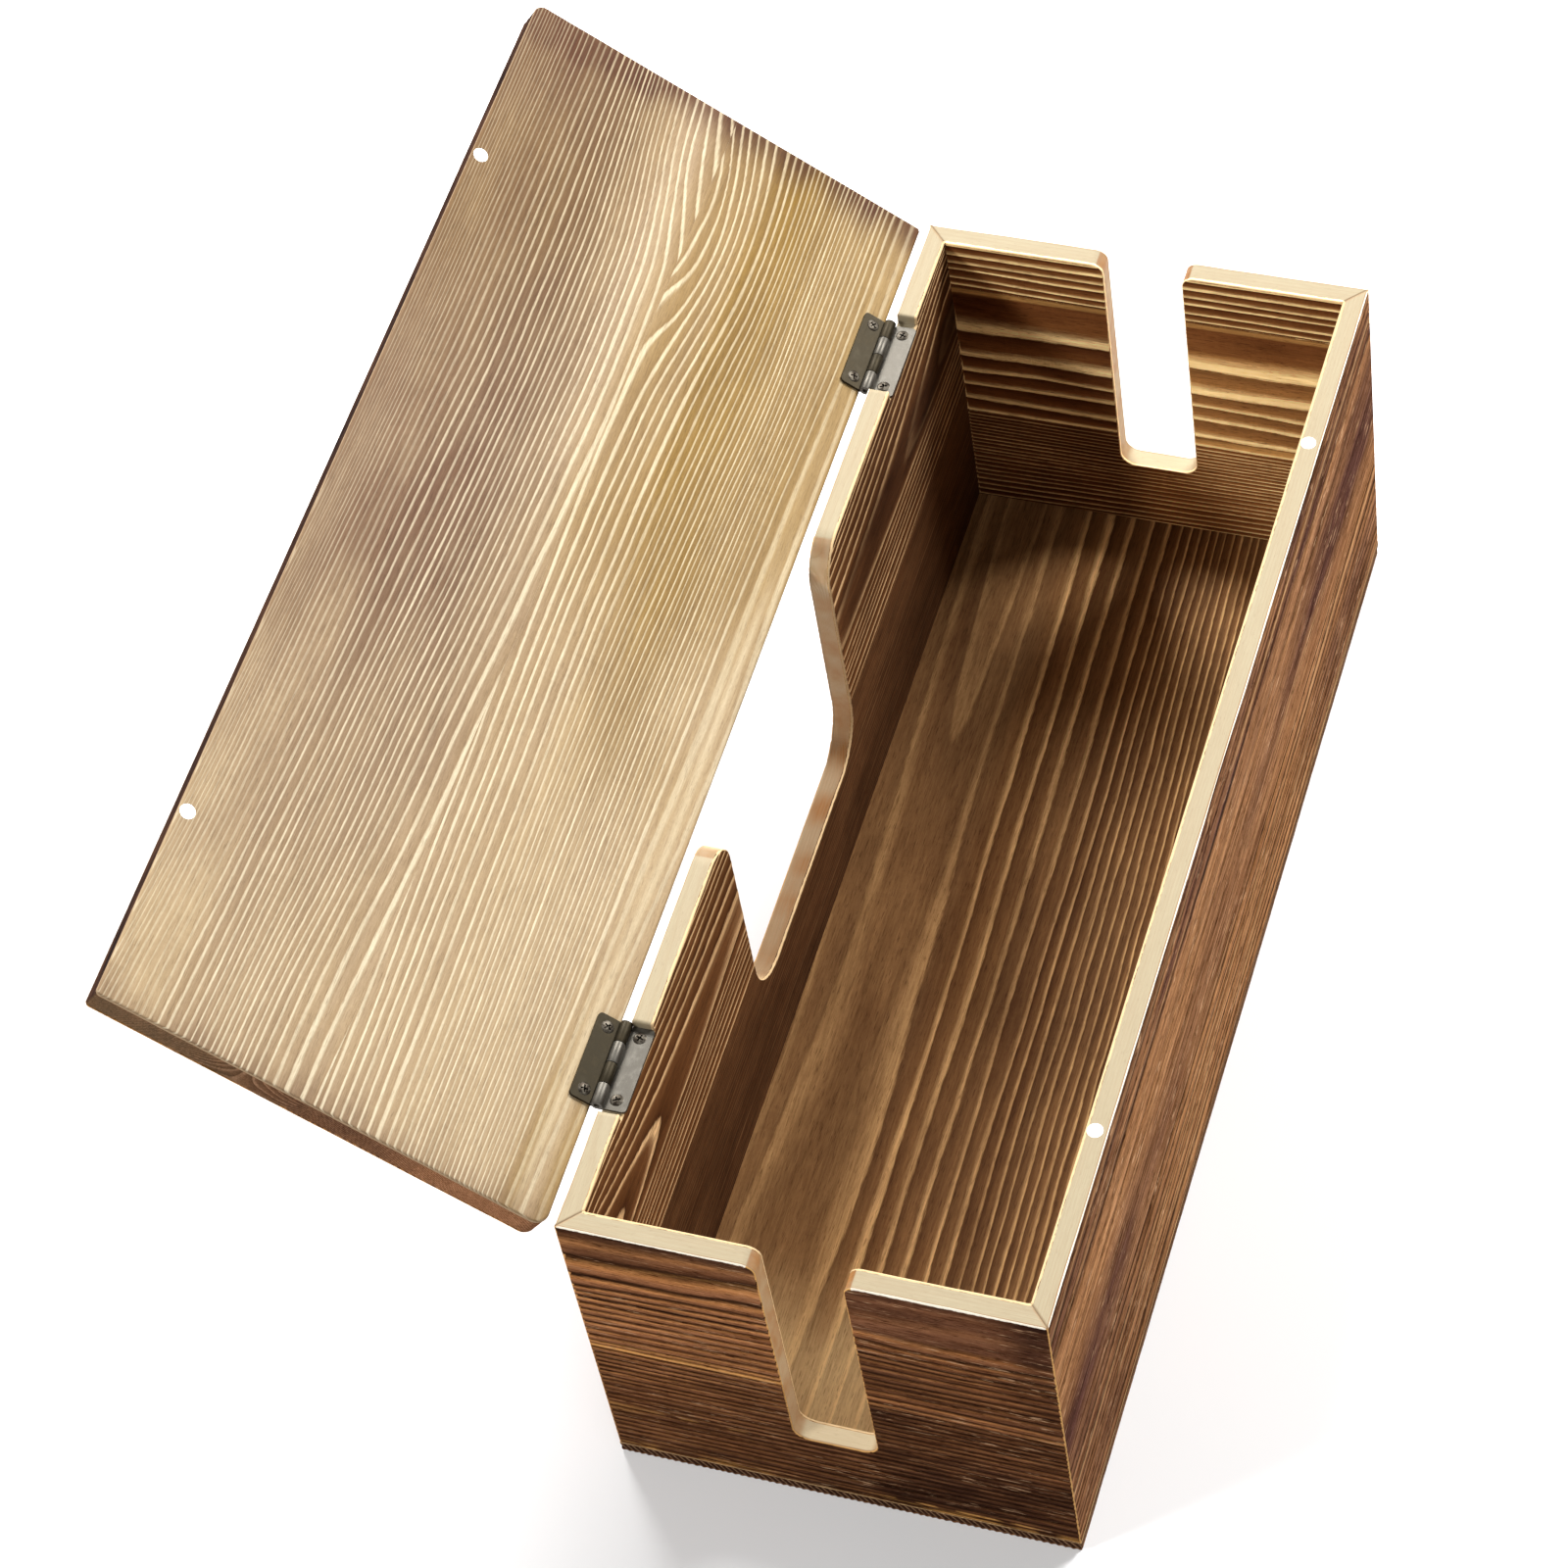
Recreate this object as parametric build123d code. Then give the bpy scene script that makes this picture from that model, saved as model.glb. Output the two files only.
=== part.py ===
from build123d import *
import math
import os

# Hinged wooden cable management box.
#
# Frame: +Z up, origin at the centre of the underside (z = 0 is the surface the
# box stands on), X along the length, -Y the front wall with the magnets,
# +Y the back wall with the hinges and the wide cable cut-out.
# All lengths are in millimetres.

# ---------------------------------------------------------------- dimensions
LENGTH = 368.0            # outside length of the box
WIDTH = 138.6             # outside width of the box
HEIGHT = 127.6            # height of the box without its lid
WALL = 6.7                # thickness of the four walls
FLOOR = 5.0               # thickness of the bottom board
EDGE_CHAMFER = 0.4        # eased arrises of the rim

LID_LENGTH = 367.0
LID_WIDTH = 137.75
LID_THICK = 9.8
LID_CORNERS = {           # hand-sanded corner radii, by the signs of X and Y
    (-1, 1): 4.5,         # hinge side, left
    (1, 1): 1.2,          # hinge side, right
    (1, -1): 3.0,         # free side, right
    (-1, -1): 1.4,        # free side, left
}
LID_GAP = 0.2             # air between rim and closed lid

SLOT_HALF = 12.4          # half width of the U slot in each end wall
SLOT_FLOOR = 32.7         # height of the slot's bottom above the table
SLOT_R_LOW = 5.0
SLOT_R_TOP = 4.0

CUT_HALF = 49.6           # half width of the rear cable cut-out
CUT_FLOOR = 40.4
CUT_R_LOW = 16.0
CUT_R_TOP = 12.5

HINGE_X = 130.2           # middle of each hinge along the length
HINGE_LEN = 27.4
LEAF_THICK = 0.9
KNUCKLE_R = 1.75          # outside radius of the rolled knuckle
LEAF_REACH = 8.3          # from the pin's axis to the far edge of a leaf
LEAF_CORNER = 1.2
PIN_R = 0.85
PIN_RUNNING = 0.05        # radial clearance in the turning knuckles
KNUCKLES = 4              # alternate along +X: box, lid, box, lid
KNUCKLE_AXIAL = 0.12      # air at each end of a knuckle
KNUCKLE_AIR = 0.20        # air between a leaf and the other leaf's knuckles
PIN_RECESS = 0.5          # the pin ends lie inside the rolled knuckles
NOTCH_IN = 0.1            # mortise beyond the leaf, towards the middle
NOTCH_OUT = 2.4           # mortise beyond the leaf, towards the end

PIN_Y = 70.5              # hinge axis
PIN_Z = HEIGHT + LID_GAP - KNUCKLE_R
LID_EDGE = 1.0            # pin axis to the lid's hinge edge
OPEN_ANGLE = 145.4        # lid opening at rest, from closed

SCREW_PITCH = 20.6
SCREW_OFFSET = 4.7        # pin axis to the line of screws
SCREW_HEAD_R = 1.95
SCREW_HEAD_H = 0.95
SCREW_DOME = 0.28
SCREW_SHANK_R = 1.0
SCREW_SHANK = 5.4
SCREW_TIP = 1.6
CROSS_L = 2.3
CROSS_W = 0.5
CROSS_D = 0.8

MAGNET_R = 2.5
MAGNET_H = 3.0
MAGNET_X = 122.0
MAGNET_Y = -65.45

BRAD_R = 0.65
BRAD_SET = 0.6            # brads are set and filled below the surface

X2 = LENGTH / 2
Y2 = WIDTH / 2


# ------------------------------------------------------------------- helpers
def u_face(half, low, r_low, r_top, top, over):
    """Outline of a U-shaped opening whose mouth flares at the top, in XY."""
    c = math.cos(math.radians(45))
    with BuildLine() as line:
        Polyline((half + r_top, top), (half + r_top, top + over),
                 (-half - r_top, top + over), (-half - r_top, top))
        ThreePointArc((-half - r_top, top),
                      (-half - r_top + r_top * c, top - r_top + r_top * c),
                      (-half, top - r_top))
        Line((-half, top - r_top), (-half, low + r_low))
        ThreePointArc((-half, low + r_low),
                      (-half + r_low - r_low * c, low + r_low - r_low * c),
                      (-half + r_low, low))
        Line((-half + r_low, low), (half - r_low, low))
        ThreePointArc((half - r_low, low),
                      (half - r_low + r_low * c, low + r_low - r_low * c),
                      (half, low + r_low))
        Line((half, low + r_low), (half, top - r_top))
        ThreePointArc((half, top - r_top),
                      (half + r_top - r_top * c, top - r_top + r_top * c),
                      (half + r_top, top))
    return make_face(line.line)


def prism(points, z0, z1):
    """Upright prism over a plan outline."""
    face = make_face(Polyline(*points, close=True))
    return Pos(0, 0, z0) * extrude(face, amount=z1 - z0)


def block(x0, x1, y0, y1, z0, z1):
    return Pos((x0 + x1) / 2, (y0 + y1) / 2, (z0 + z1) / 2) * Box(x1 - x0, y1 - y0, z1 - z0)


def rod_x(x0, x1, y, z, r):
    """Cylinder along X."""
    return Pos((x0 + x1) / 2, y, z) * Rot(0, 90, 0) * Cylinder(r, x1 - x0)


def ease_rim(wall, axis):
    """Chamfers the rim's two long arrises, parallel to axis."""
    edges = [e for e in wall.edges().filter_by(axis)
             if abs(e.center().Z - HEIGHT) < 1e-6]
    return chamfer(edges, EDGE_CHAMFER)


def opened(shape):
    """Turns a piece of the closed lid about the hinge axis to its rest pose."""
    return shape.rotate(Axis((0, PIN_Y, PIN_Z), (1, 0, 0)), -OPEN_ANGLE)


def screw():
    """Countersunk cross-head wood screw; the leaf's surface is at z = 0."""
    h = SCREW_HEAD_R
    dome_r = (h * h + SCREW_DOME ** 2) / (2 * SCREW_DOME)
    mid = h * 0.55
    mid_z = SCREW_DOME - dome_r + math.sqrt(dome_r ** 2 - mid ** 2)
    with BuildLine() as line:
        ThreePointArc((0, 0, SCREW_DOME), (mid, 0, mid_z), (h, 0, 0))
        Polyline((h, 0, 0), (SCREW_SHANK_R, 0, -SCREW_HEAD_H),
                 (SCREW_SHANK_R, 0, -SCREW_HEAD_H - SCREW_SHANK),
                 (0.12, 0, -SCREW_HEAD_H - SCREW_SHANK - SCREW_TIP),
                 (0, 0, -SCREW_HEAD_H - SCREW_SHANK - SCREW_TIP),
                 (0, 0, SCREW_DOME))
    body = revolve(make_face(line.line), Axis.Z)
    return body


def cross():
    """The driver recess, as a tool body to cut away."""
    d = CROSS_D + 1.0
    arm = Pos(0, 0, SCREW_DOME - CROSS_D + d / 2) * Box(CROSS_L, CROSS_W, d)
    return arm + Rot(0, 0, 90) * arm


def leaf_plate(x0, x1, z_low):
    """Flat leaf from the pin's axis to LEAF_REACH, outer corners rounded."""
    y_far = PIN_Y - LEAF_REACH
    plate = block(x0, x1, y_far, PIN_Y, z_low, z_low + LEAF_THICK)
    corners = [e for e in plate.edges().filter_by(Axis.Z) if abs(e.center().Y - y_far) < 1e-6]
    return fillet(corners, LEAF_CORNER)


def hinge(side):
    """One butt hinge in its closed state: box leaf, lid leaf, pin."""
    xc = side * HINGE_X
    x0, x1 = xc - HINGE_LEN / 2, xc + HINGE_LEN / 2
    seg = HINGE_LEN / KNUCKLES
    box_leaf = leaf_plate(x0, x1, PIN_Z - KNUCKLE_R)
    lid_leaf = leaf_plate(x0, x1, PIN_Z + KNUCKLE_R - LEAF_THICK)
    for i in range(KNUCKLES):
        a = x0 + i * seg + (KNUCKLE_AXIAL if i else 0)
        b = x0 + (i + 1) * seg - (KNUCKLE_AXIAL if i < KNUCKLES - 1 else 0)
        # both hinges are the same part, so the order of knuckles does not mirror
        lid_own = i % 2 == 1
        barrel = rod_x(a, b, PIN_Y, PIN_Z, KNUCKLE_R)
        room = rod_x(a - KNUCKLE_AXIAL - (0 if i else 1), b + KNUCKLE_AXIAL + (0 if i < KNUCKLES - 1 else 1),
                     PIN_Y, PIN_Z, KNUCKLE_R + KNUCKLE_AIR)
        if lid_own:
            lid_leaf += barrel
            box_leaf -= room
        else:
            box_leaf += barrel
            lid_leaf -= room
    box_leaf -= rod_x(x0 - 1, x1 + 1, PIN_Y, PIN_Z, PIN_R)
    lid_leaf -= rod_x(x0 - 1, x1 + 1, PIN_Y, PIN_Z, PIN_R + PIN_RUNNING)
    pin = rod_x(x0 + PIN_RECESS, x1 - PIN_RECESS, PIN_Y, PIN_Z, PIN_R)
    pin = chamfer(pin.edges().filter_by(GeomType.CIRCLE), 0.2)
    return box_leaf, lid_leaf, pin


def one_solid(shape):
    solids = shape.solids()
    return solids[0] if len(solids) == 1 else shape


# ---------------------------------------------------------------------- wood
bottom = block(-X2, X2, -Y2, Y2, 0, FLOOR)
bottom = chamfer(bottom.edges().group_by(Axis.Z)[0], EDGE_CHAMFER)

xi, yi = X2 - WALL, Y2 - WALL
front = prism([(-X2, -Y2), (X2, -Y2), (xi, -yi), (-xi, -yi)], FLOOR, HEIGHT)
back = prism([(-X2, Y2), (-xi, yi), (xi, yi), (X2, Y2)], FLOOR, HEIGHT)
left = prism([(-X2, -Y2), (-xi, -yi), (-xi, yi), (-X2, Y2)], FLOOR, HEIGHT)
right = prism([(X2, -Y2), (X2, Y2), (xi, yi), (xi, -yi)], FLOOR, HEIGHT)
front, back = ease_rim(front, Axis.X), ease_rim(back, Axis.X)
left, right = ease_rim(left, Axis.Y), ease_rim(right, Axis.Y)

# U slots in the end walls
slot = extrude(Plane.YZ * u_face(SLOT_HALF, SLOT_FLOOR, SLOT_R_LOW, SLOT_R_TOP, HEIGHT, 5),
               amount=X2 + 10, both=True)
left -= slot
right -= slot

# wide cut-out in the back wall
cut = extrude(Plane.XZ * u_face(CUT_HALF, CUT_FLOOR, CUT_R_LOW, CUT_R_TOP, HEIGHT, 5),
              amount=Y2 + 10, both=True)
back -= cut & block(-X2, X2, 0, Y2 + 10, 0, HEIGHT + 10)

# lid, closed
lid_y1 = PIN_Y - LID_EDGE
lid = block(-LID_LENGTH / 2, LID_LENGTH / 2, lid_y1 - LID_WIDTH, lid_y1,
            HEIGHT + LID_GAP, HEIGHT + LID_GAP + LID_THICK)
lid_mid = lid_y1 - LID_WIDTH / 2
for (sx, sy), radius in LID_CORNERS.items():
    corner = [e for e in lid.edges().filter_by(Axis.Z)
              if e.center().X * sx > LID_LENGTH / 2 - 1 and (e.center().Y - lid_mid) * sy > LID_WIDTH / 2 - 1]
    lid = fillet(corner, radius)
lid = chamfer(lid.faces().sort_by(Axis.Z)[-1].edges(), EDGE_CHAMFER)
lid = chamfer(lid.faces().sort_by(Axis.Z)[0].edges(), EDGE_CHAMFER)

# ------------------------------------------------------------------- magnets
rim_magnets = {}
lid_magnets = {}
for name, sx in (("left", -1), ("right", 1)):
    low = Pos(sx * MAGNET_X, MAGNET_Y, HEIGHT - MAGNET_H / 2) * Cylinder(MAGNET_R, MAGNET_H)
    up = Pos(sx * MAGNET_X, MAGNET_Y, HEIGHT + LID_GAP + MAGNET_H / 2) * Cylinder(MAGNET_R, MAGNET_H)
    front -= low
    lid -= up
    rim_magnets[name] = chamfer(low.edges().group_by(Axis.Z)[-1], 0.25)
    lid_magnets[name] = chamfer(up.edges().group_by(Axis.Z)[0], 0.25)

# -------------------------------------------------------------------- hinges
parts = {}
tool = cross()
for name, sx in (("left", -1), ("right", 1)):
    box_leaf, lid_leaf, pin = hinge(sx)
    xc = sx * HINGE_X
    inner, outer = abs(xc) - HINGE_LEN / 2 - NOTCH_IN, abs(xc) + HINGE_LEN / 2 + NOTCH_OUT
    xa, xb = sorted((sx * inner, sx * outer))
    back -= block(xa, xb, 0, Y2 + 5, PIN_Z - KNUCKLE_R, HEIGHT + 5)
    box_screws, lid_screws = [], []
    for dx in (-SCREW_PITCH / 2, SCREW_PITCH / 2):
        y = PIN_Y - SCREW_OFFSET
        turn = 25 if dx < 0 else 70
        down = Pos(xc + dx, y, PIN_Z - KNUCKLE_R + LEAF_THICK) * Rot(0, 0, turn)
        up = Pos(xc + dx, y, PIN_Z + KNUCKLE_R - LEAF_THICK) * Rot(180, 0, 0) * Rot(0, 0, turn - 12)
        s = screw()
        box_leaf -= down * s
        back -= down * s
        lid_leaf -= up * s
        lid -= up * s
        box_screws.append(down * (s - tool))
        lid_screws.append(up * (s - tool))
    parts[name + "_hinge_box_leaf"] = box_leaf
    parts[name + "_hinge_lid_leaf"] = opened(lid_leaf)
    parts[name + "_hinge_pin"] = pin
    parts[name + "_hinge_box_screws"] = Compound(children=[one_solid(b) for b in box_screws])
    parts[name + "_hinge_lid_screws"] = Compound(children=[one_solid(opened(b)) for b in lid_screws])

# --------------------------------------------------------------------- brads
# headless brads pin the mitres and the bottom board; the set holes are filled
corner_brads = []
for sx in (-1, 1):
    for sy in (-1, 1):
        for z in (24.0, 66.0, 108.0):
            y_out = sy * (Y2 - BRAD_SET)
            y_in = sy * (Y2 - BRAD_SET - 15.0)
            brad = Pos(sx * (X2 - WALL / 2), (y_out + y_in) / 2, z) * Rot(90, 0, 0) * Cylinder(BRAD_R, 15.0)
            corner_brads.append(brad)
            if sy < 0:
                front -= brad
            else:
                back -= brad
            if sx < 0:
                left -= brad
            else:
                right -= brad

floor_brads = []
spots = [(x, s * (Y2 - WALL / 2)) for x in (-150.0, -75.0, 0.0, 75.0, 150.0) for s in (-1, 1)]
spots += [(s * (X2 - WALL / 2), y) for y in (-30.0, 30.0) for s in (-1, 1)]
for x, y in spots:
    brad = Pos(x, y, BRAD_SET + 8.0) * Cylinder(BRAD_R, 16.0)
    floor_brads.append(brad)
    bottom -= brad
    if abs(y) > Y2 - WALL:
        if y < 0:
            front -= brad
        else:
            back -= brad
    elif x < 0:
        left -= brad
    else:
        right -= brad

# -------------------------------------------------------------------- output
parts["bottom_panel"] = bottom
parts["front_wall"] = front
parts["back_wall"] = back
parts["left_end_wall"] = left
parts["right_end_wall"] = right
parts["lid_panel"] = opened(lid)
parts["rim_magnet_left"] = rim_magnets["left"]
parts["rim_magnet_right"] = rim_magnets["right"]
parts["lid_magnet_left"] = opened(lid_magnets["left"])
parts["lid_magnet_right"] = opened(lid_magnets["right"])
parts["corner_brads"] = Compound(children=[one_solid(b) for b in corner_brads])
parts["floor_brads"] = Compound(children=[one_solid(b) for b in floor_brads])

os.makedirs("parts", exist_ok=True)
for name, shape in parts.items():
    export_step(one_solid(shape), os.path.join("parts", name + ".step"))
    print(name, len(shape.solids()), "solids", round(sum(s.volume for s in shape.solids()), 1), "mm3")
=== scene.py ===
"""Looks of the hinged wooden cable management box. The CAD bodies are the frame; every wooden board is
rebuilt here as a dense mesh whose brushed grain is real relief, and the metal parts keep their CAD shape."""
import math

import bmesh
import bpy
import numpy as np
from mathutils import Matrix


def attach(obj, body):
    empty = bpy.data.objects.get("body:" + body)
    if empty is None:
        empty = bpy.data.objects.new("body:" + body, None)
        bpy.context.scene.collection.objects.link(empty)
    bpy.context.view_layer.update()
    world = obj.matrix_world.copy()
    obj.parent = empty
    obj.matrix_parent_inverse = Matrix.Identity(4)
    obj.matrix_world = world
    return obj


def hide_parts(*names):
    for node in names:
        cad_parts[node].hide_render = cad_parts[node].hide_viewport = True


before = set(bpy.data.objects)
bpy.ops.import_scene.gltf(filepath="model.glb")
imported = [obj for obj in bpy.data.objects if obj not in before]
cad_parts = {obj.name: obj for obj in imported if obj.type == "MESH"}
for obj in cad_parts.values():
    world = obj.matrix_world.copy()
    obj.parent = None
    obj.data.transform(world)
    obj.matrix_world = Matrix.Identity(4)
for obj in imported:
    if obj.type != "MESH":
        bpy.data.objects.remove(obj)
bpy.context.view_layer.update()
MM = 0.001

# ------------------------------------------------------------------ dimensions (mm, as in the CAD)
LENGTH, WIDTH, HEIGHT, WALL, FLOOR = 368.0, 138.6, 127.6, 6.7, 5.0
X2, Y2 = LENGTH / 2, WIDTH / 2
LID_L, LID_W, LID_T = 367.0, 137.75, 9.8
PIN_Y, PIN_Z = 70.5, 126.05
LID_Y1 = PIN_Y - 1.0
LID_Z0 = HEIGHT + 0.2
OPEN = math.radians(145.4)
SLOT = dict(half=12.4, floor=32.7, low=5.0, top=4.0)
CUT = dict(half=49.6, floor=40.4, low=16.0, top=12.5)
NOTCH_X0, NOTCH_X1, NOTCH_Z = 116.4, 146.3, 124.3


# ------------------------------------------------------------------ noise
class Noise:
    """Smooth lattice noise in two dimensions, about -1 to 1, seeded."""

    def __init__(self, seed):
        self.g = np.random.RandomState(seed).uniform(-1, 1, (256, 256))

    def __call__(self, x, y=0.0):
        x, y = np.broadcast_arrays(np.asarray(x, float), np.asarray(y, float))
        ix, iy = np.floor(x).astype(int), np.floor(y).astype(int)
        fx, fy = x - ix, y - iy
        fx, fy = fx * fx * fx * (fx * (fx * 6 - 15) + 10), fy * fy * fy * (fy * (fy * 6 - 15) + 10)
        g = self.g
        a, b = g[ix % 256, iy % 256], g[(ix + 1) % 256, iy % 256]
        c, d = g[ix % 256, (iy + 1) % 256], g[(ix + 1) % 256, (iy + 1) % 256]
        return (a + (b - a) * fx) * (1 - fy) + (c + (d - c) * fx) * fy


def smooth(a, b, x):
    t = np.clip((x - a) / (b - a), 0, 1)
    return t * t * (3 - 2 * t)


def blob(s, t, s0, t0, rs, rt):
    return np.exp(-(((s - s0) / rs) ** 2) - ((t - t0) / rt) ** 2)


# ------------------------------------------------------------------ grain figure
def along(points, lo, hi):
    """A smooth curve through (s, value) points as a table over s: cubic, with finite-difference slopes."""
    p = np.array(sorted(points), float)
    if len(p) == 1:
        return lambda s: np.full(np.shape(s), p[0, 1])
    x, y = p[:, 0], p[:, 1]
    h, dl = np.diff(x), np.diff(y) / np.diff(x)
    m = np.empty(len(x))
    m[0], m[-1] = dl[0], dl[-1]
    m[1:-1] = (dl[:-1] * h[1:] + dl[1:] * h[:-1]) / (h[1:] + h[:-1])
    q = np.linspace(lo, hi, 800)
    k = np.clip(np.searchsorted(x, q) - 1, 0, len(x) - 2)
    u = np.clip((q - x[k]) / h[k], -0.6, 1.6)
    v = ((1 + 2 * u) * (1 - u) ** 2 * y[k] + u * (1 - u) ** 2 * h[k] * m[k]
         + u * u * (3 - 2 * u) * y[k + 1] + u * u * (u - 1) * h[k] * m[k + 1])
    v = np.where(q < x[0], y[0] + (q - x[0]) * m[0], v)
    v = np.where(q > x[-1], y[-1] + (q - x[-1]) * m[-1], v)
    return lambda s: np.interp(s, q, v)


class Figure:
    """Growth-ring number over a strip of board. guides: [(ring number or [(s, ring)...], [(s, t), ...])], from small t to large t."""

    def __init__(self, guides, half, seed, wob=0.35, uneven=0.30):
        self.k = [(along(r if isinstance(r, list) else [(0, r)], -half, half), along(p, -half, half)) for r, p in guides]
        self.n, self.wob, self.uneven = Noise(seed), wob, uneven

    def __call__(self, s, t):
        n = self.n
        t = t + self.wob * (n(s / 60 + 9, t / 14 + 3) + 0.45 * n(s / 17 + 31, t / 6 + 77) + 0.10 * n(s / 4.5 + 11, t / 2.5 + 5))
        T = np.stack([g(s) for _, g in self.k])
        P = np.stack([f(s) + 0 * s for f, _ in self.k])
        for i in range(1, len(T)):
            T[i] = np.maximum(T[i], T[i - 1] + 0.05)
        h = np.diff(T, axis=0)
        dl = np.diff(P, axis=0) / h
        m = np.empty_like(T)
        m[0], m[-1] = dl[0], dl[-1]
        if len(T) > 2:
            w1, w2 = 2 * h[1:] + h[:-1], h[1:] + 2 * h[:-1]
            same = dl[:-1] * dl[1:] > 0
            safe0, safe1 = np.where(same, dl[:-1], 1), np.where(same, dl[1:], 1)
            m[1:-1] = np.where(same, (w1 + w2) / (w1 / safe0 + w2 / safe1), 0)
        k = np.clip((t[None] >= T).sum(0) - 1, 0, len(T) - 2)
        take = lambda a: np.take_along_axis(a, k[None], 0)[0]
        t0, hk, p0, p1 = take(T), take(h), take(P), np.take_along_axis(P, k[None] + 1, 0)[0]
        m0, m1 = take(m), np.take_along_axis(m, k[None] + 1, 0)[0]
        u = (t - t0) / hk
        inside = ((1 + 2 * u) * (1 - u) ** 2 * p0 + u * (1 - u) ** 2 * hk * m0 + u * u * (3 - 2 * u) * p1 + u * u * (u - 1) * hk * m1)
        r = np.where(u < 0, p0 + (t - t0) * m0, np.where(u > 1, p1 + (t - t0 - hk) * m1, inside))
        return r + self.uneven * n(r * 0.83 + 40, 0.5) + 0.10 * n(r * 1.9 + 4, s / 90)


# ------------------------------------------------------------------ board outlines (signed distance, negative in the wood)
def sd_box(s, t, s0, s1, t0, t1):
    cs, ct = (s0 + s1) / 2, (t0 + t1) / 2
    qs, qt = np.abs(s - cs) - (s1 - s0) / 2, np.abs(t - ct) - (t1 - t0) / 2
    return np.hypot(np.maximum(qs, 0), np.maximum(qt, 0)) + np.minimum(np.maximum(qs, qt), 0)


def sd_u(s, z, half, floor, low, top):
    """Distance to a U opening with rounded lower corners and a flared mouth at z = HEIGHT, negative in the opening."""
    a = np.abs(s)
    qs, qz = a - (half - low), (floor + low) - z
    body = np.where((qs > 0) & (qz > 0), np.hypot(qs, qz) - low, np.maximum(a - half, floor - z))
    # the mouth: outside a quarter circle centred in the wood at (half + top, HEIGHT - top)
    us, uz = a - (half + top), z - (HEIGHT - top)
    mouth = top - np.hypot(us, uz)
    use = (us < 0) & (uz > 0)
    d = np.where(use, mouth, body)
    return np.where((us >= 0) & (uz > 0), np.maximum(body, top - np.abs(uz)), d)


# ------------------------------------------------------------------ board meshes
def clip_grid(SS, TT, sdf):
    """Cells of the grid that lie where sdf <= 0, cut along sdf = 0. Returns points (N, 2), quads and other polygons."""
    ns, nt = SS.shape
    F = sdf(SS, TT)
    inside = F <= 1e-4
    idx = -np.ones((ns, nt), int)
    idx[inside] = np.arange(inside.sum())
    pts = [np.stack([SS[inside], TT[inside]], 1)]
    count = int(inside.sum())
    cross = {}
    for axis in (0, 1):
        a = inside[:-1, :] if axis == 0 else inside[:, :-1]
        b = inside[1:, :] if axis == 0 else inside[:, 1:]
        I, J = np.nonzero(a != b)
        if not len(I):
            continue
        I2, J2 = (I + 1, J) if axis == 0 else (I, J + 1)
        ain = inside[I, J]
        one, two = np.stack([SS[I, J], TT[I, J]], 1), np.stack([SS[I2, J2], TT[I2, J2]], 1)
        p_in, p_out = np.where(ain[:, None], one, two), np.where(ain[:, None], two, one)
        lo, hi = np.zeros(len(I)), np.ones(len(I))
        for _ in range(26):
            mid = (lo + hi) / 2
            q = p_in + (p_out - p_in) * mid[:, None]
            ok = sdf(q[:, 0], q[:, 1]) <= 1e-4
            lo, hi = np.where(ok, mid, lo), np.where(ok, hi, mid)
        q = p_in + (p_out - p_in) * lo[:, None]
        near = np.hypot(*(q - p_in).T) < 0.02
        corner = np.where(ain, idx[I, J], idx[I2, J2])
        for n in range(len(I)):
            if near[n]:
                cross[(axis, I[n], J[n])] = int(corner[n])
            else:
                cross[(axis, I[n], J[n])] = count
                pts.append(q[n:n + 1])
                count += 1
    P = np.concatenate(pts)
    full = inside[:-1, :-1] & inside[1:, :-1] & inside[1:, 1:] & inside[:-1, 1:]
    I, J = np.nonzero(full)
    quads = np.stack([idx[I, J], idx[I + 1, J], idx[I + 1, J + 1], idx[I, J + 1]], 1)
    some = (inside[:-1, :-1] | inside[1:, :-1] | inside[1:, 1:] | inside[:-1, 1:]) & ~full
    polys = []
    for i, j in zip(*np.nonzero(some)):
        c = [(i, j), (i + 1, j), (i + 1, j + 1), (i, j + 1)]
        e = [(0, i, j), (1, i + 1, j), (0, i, j + 1), (1, i, j)]
        poly = []
        for k in range(4):
            if inside[c[k]]:
                poly.append(int(idx[c[k]]))
            if inside[c[k]] != inside[c[(k + 1) % 4]]:
                poly.append(cross[e[k]])
        out = [p for n, p in enumerate(poly) if p != poly[n - 1]]
        if len(set(out)) >= 3 and len(set(out)) == len(out):
            q = P[out]
            area = 0.5 * abs(np.dot(q[:, 0], np.roll(q[:, 1], -1)) - np.dot(q[:, 1], np.roll(q[:, 0], -1)))
            if area > 1e-5:
                polys.append(out)
    return P, quads, polys


def loops_of(quads, polys):
    """Closed boundary loops, with the wood on their left."""
    edges = [np.stack([quads[:, k], quads[:, (k + 1) % 4]], 1) for k in range(4)]
    more = [(p[k], p[(k + 1) % len(p)]) for p in polys for k in range(len(p))]
    if more:
        edges.append(np.array(more))
    e = np.concatenate(edges)
    big = int(e.max()) + 1
    lone = e[~np.isin(e[:, 0] * big + e[:, 1], e[:, 1] * big + e[:, 0])]
    follow = {}
    for a, b in lone:
        follow.setdefault(int(a), []).append(int(b))
    found = []
    while follow:
        start = next(iter(follow))
        loop, a = [], start
        while a in follow:
            b = follow[a].pop()
            if not follow[a]:
                del follow[a]
            loop.append(a)
            a = b
            if a == start:
                break
        if len(loop) > 2:
            found.append(loop)
    return found


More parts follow.
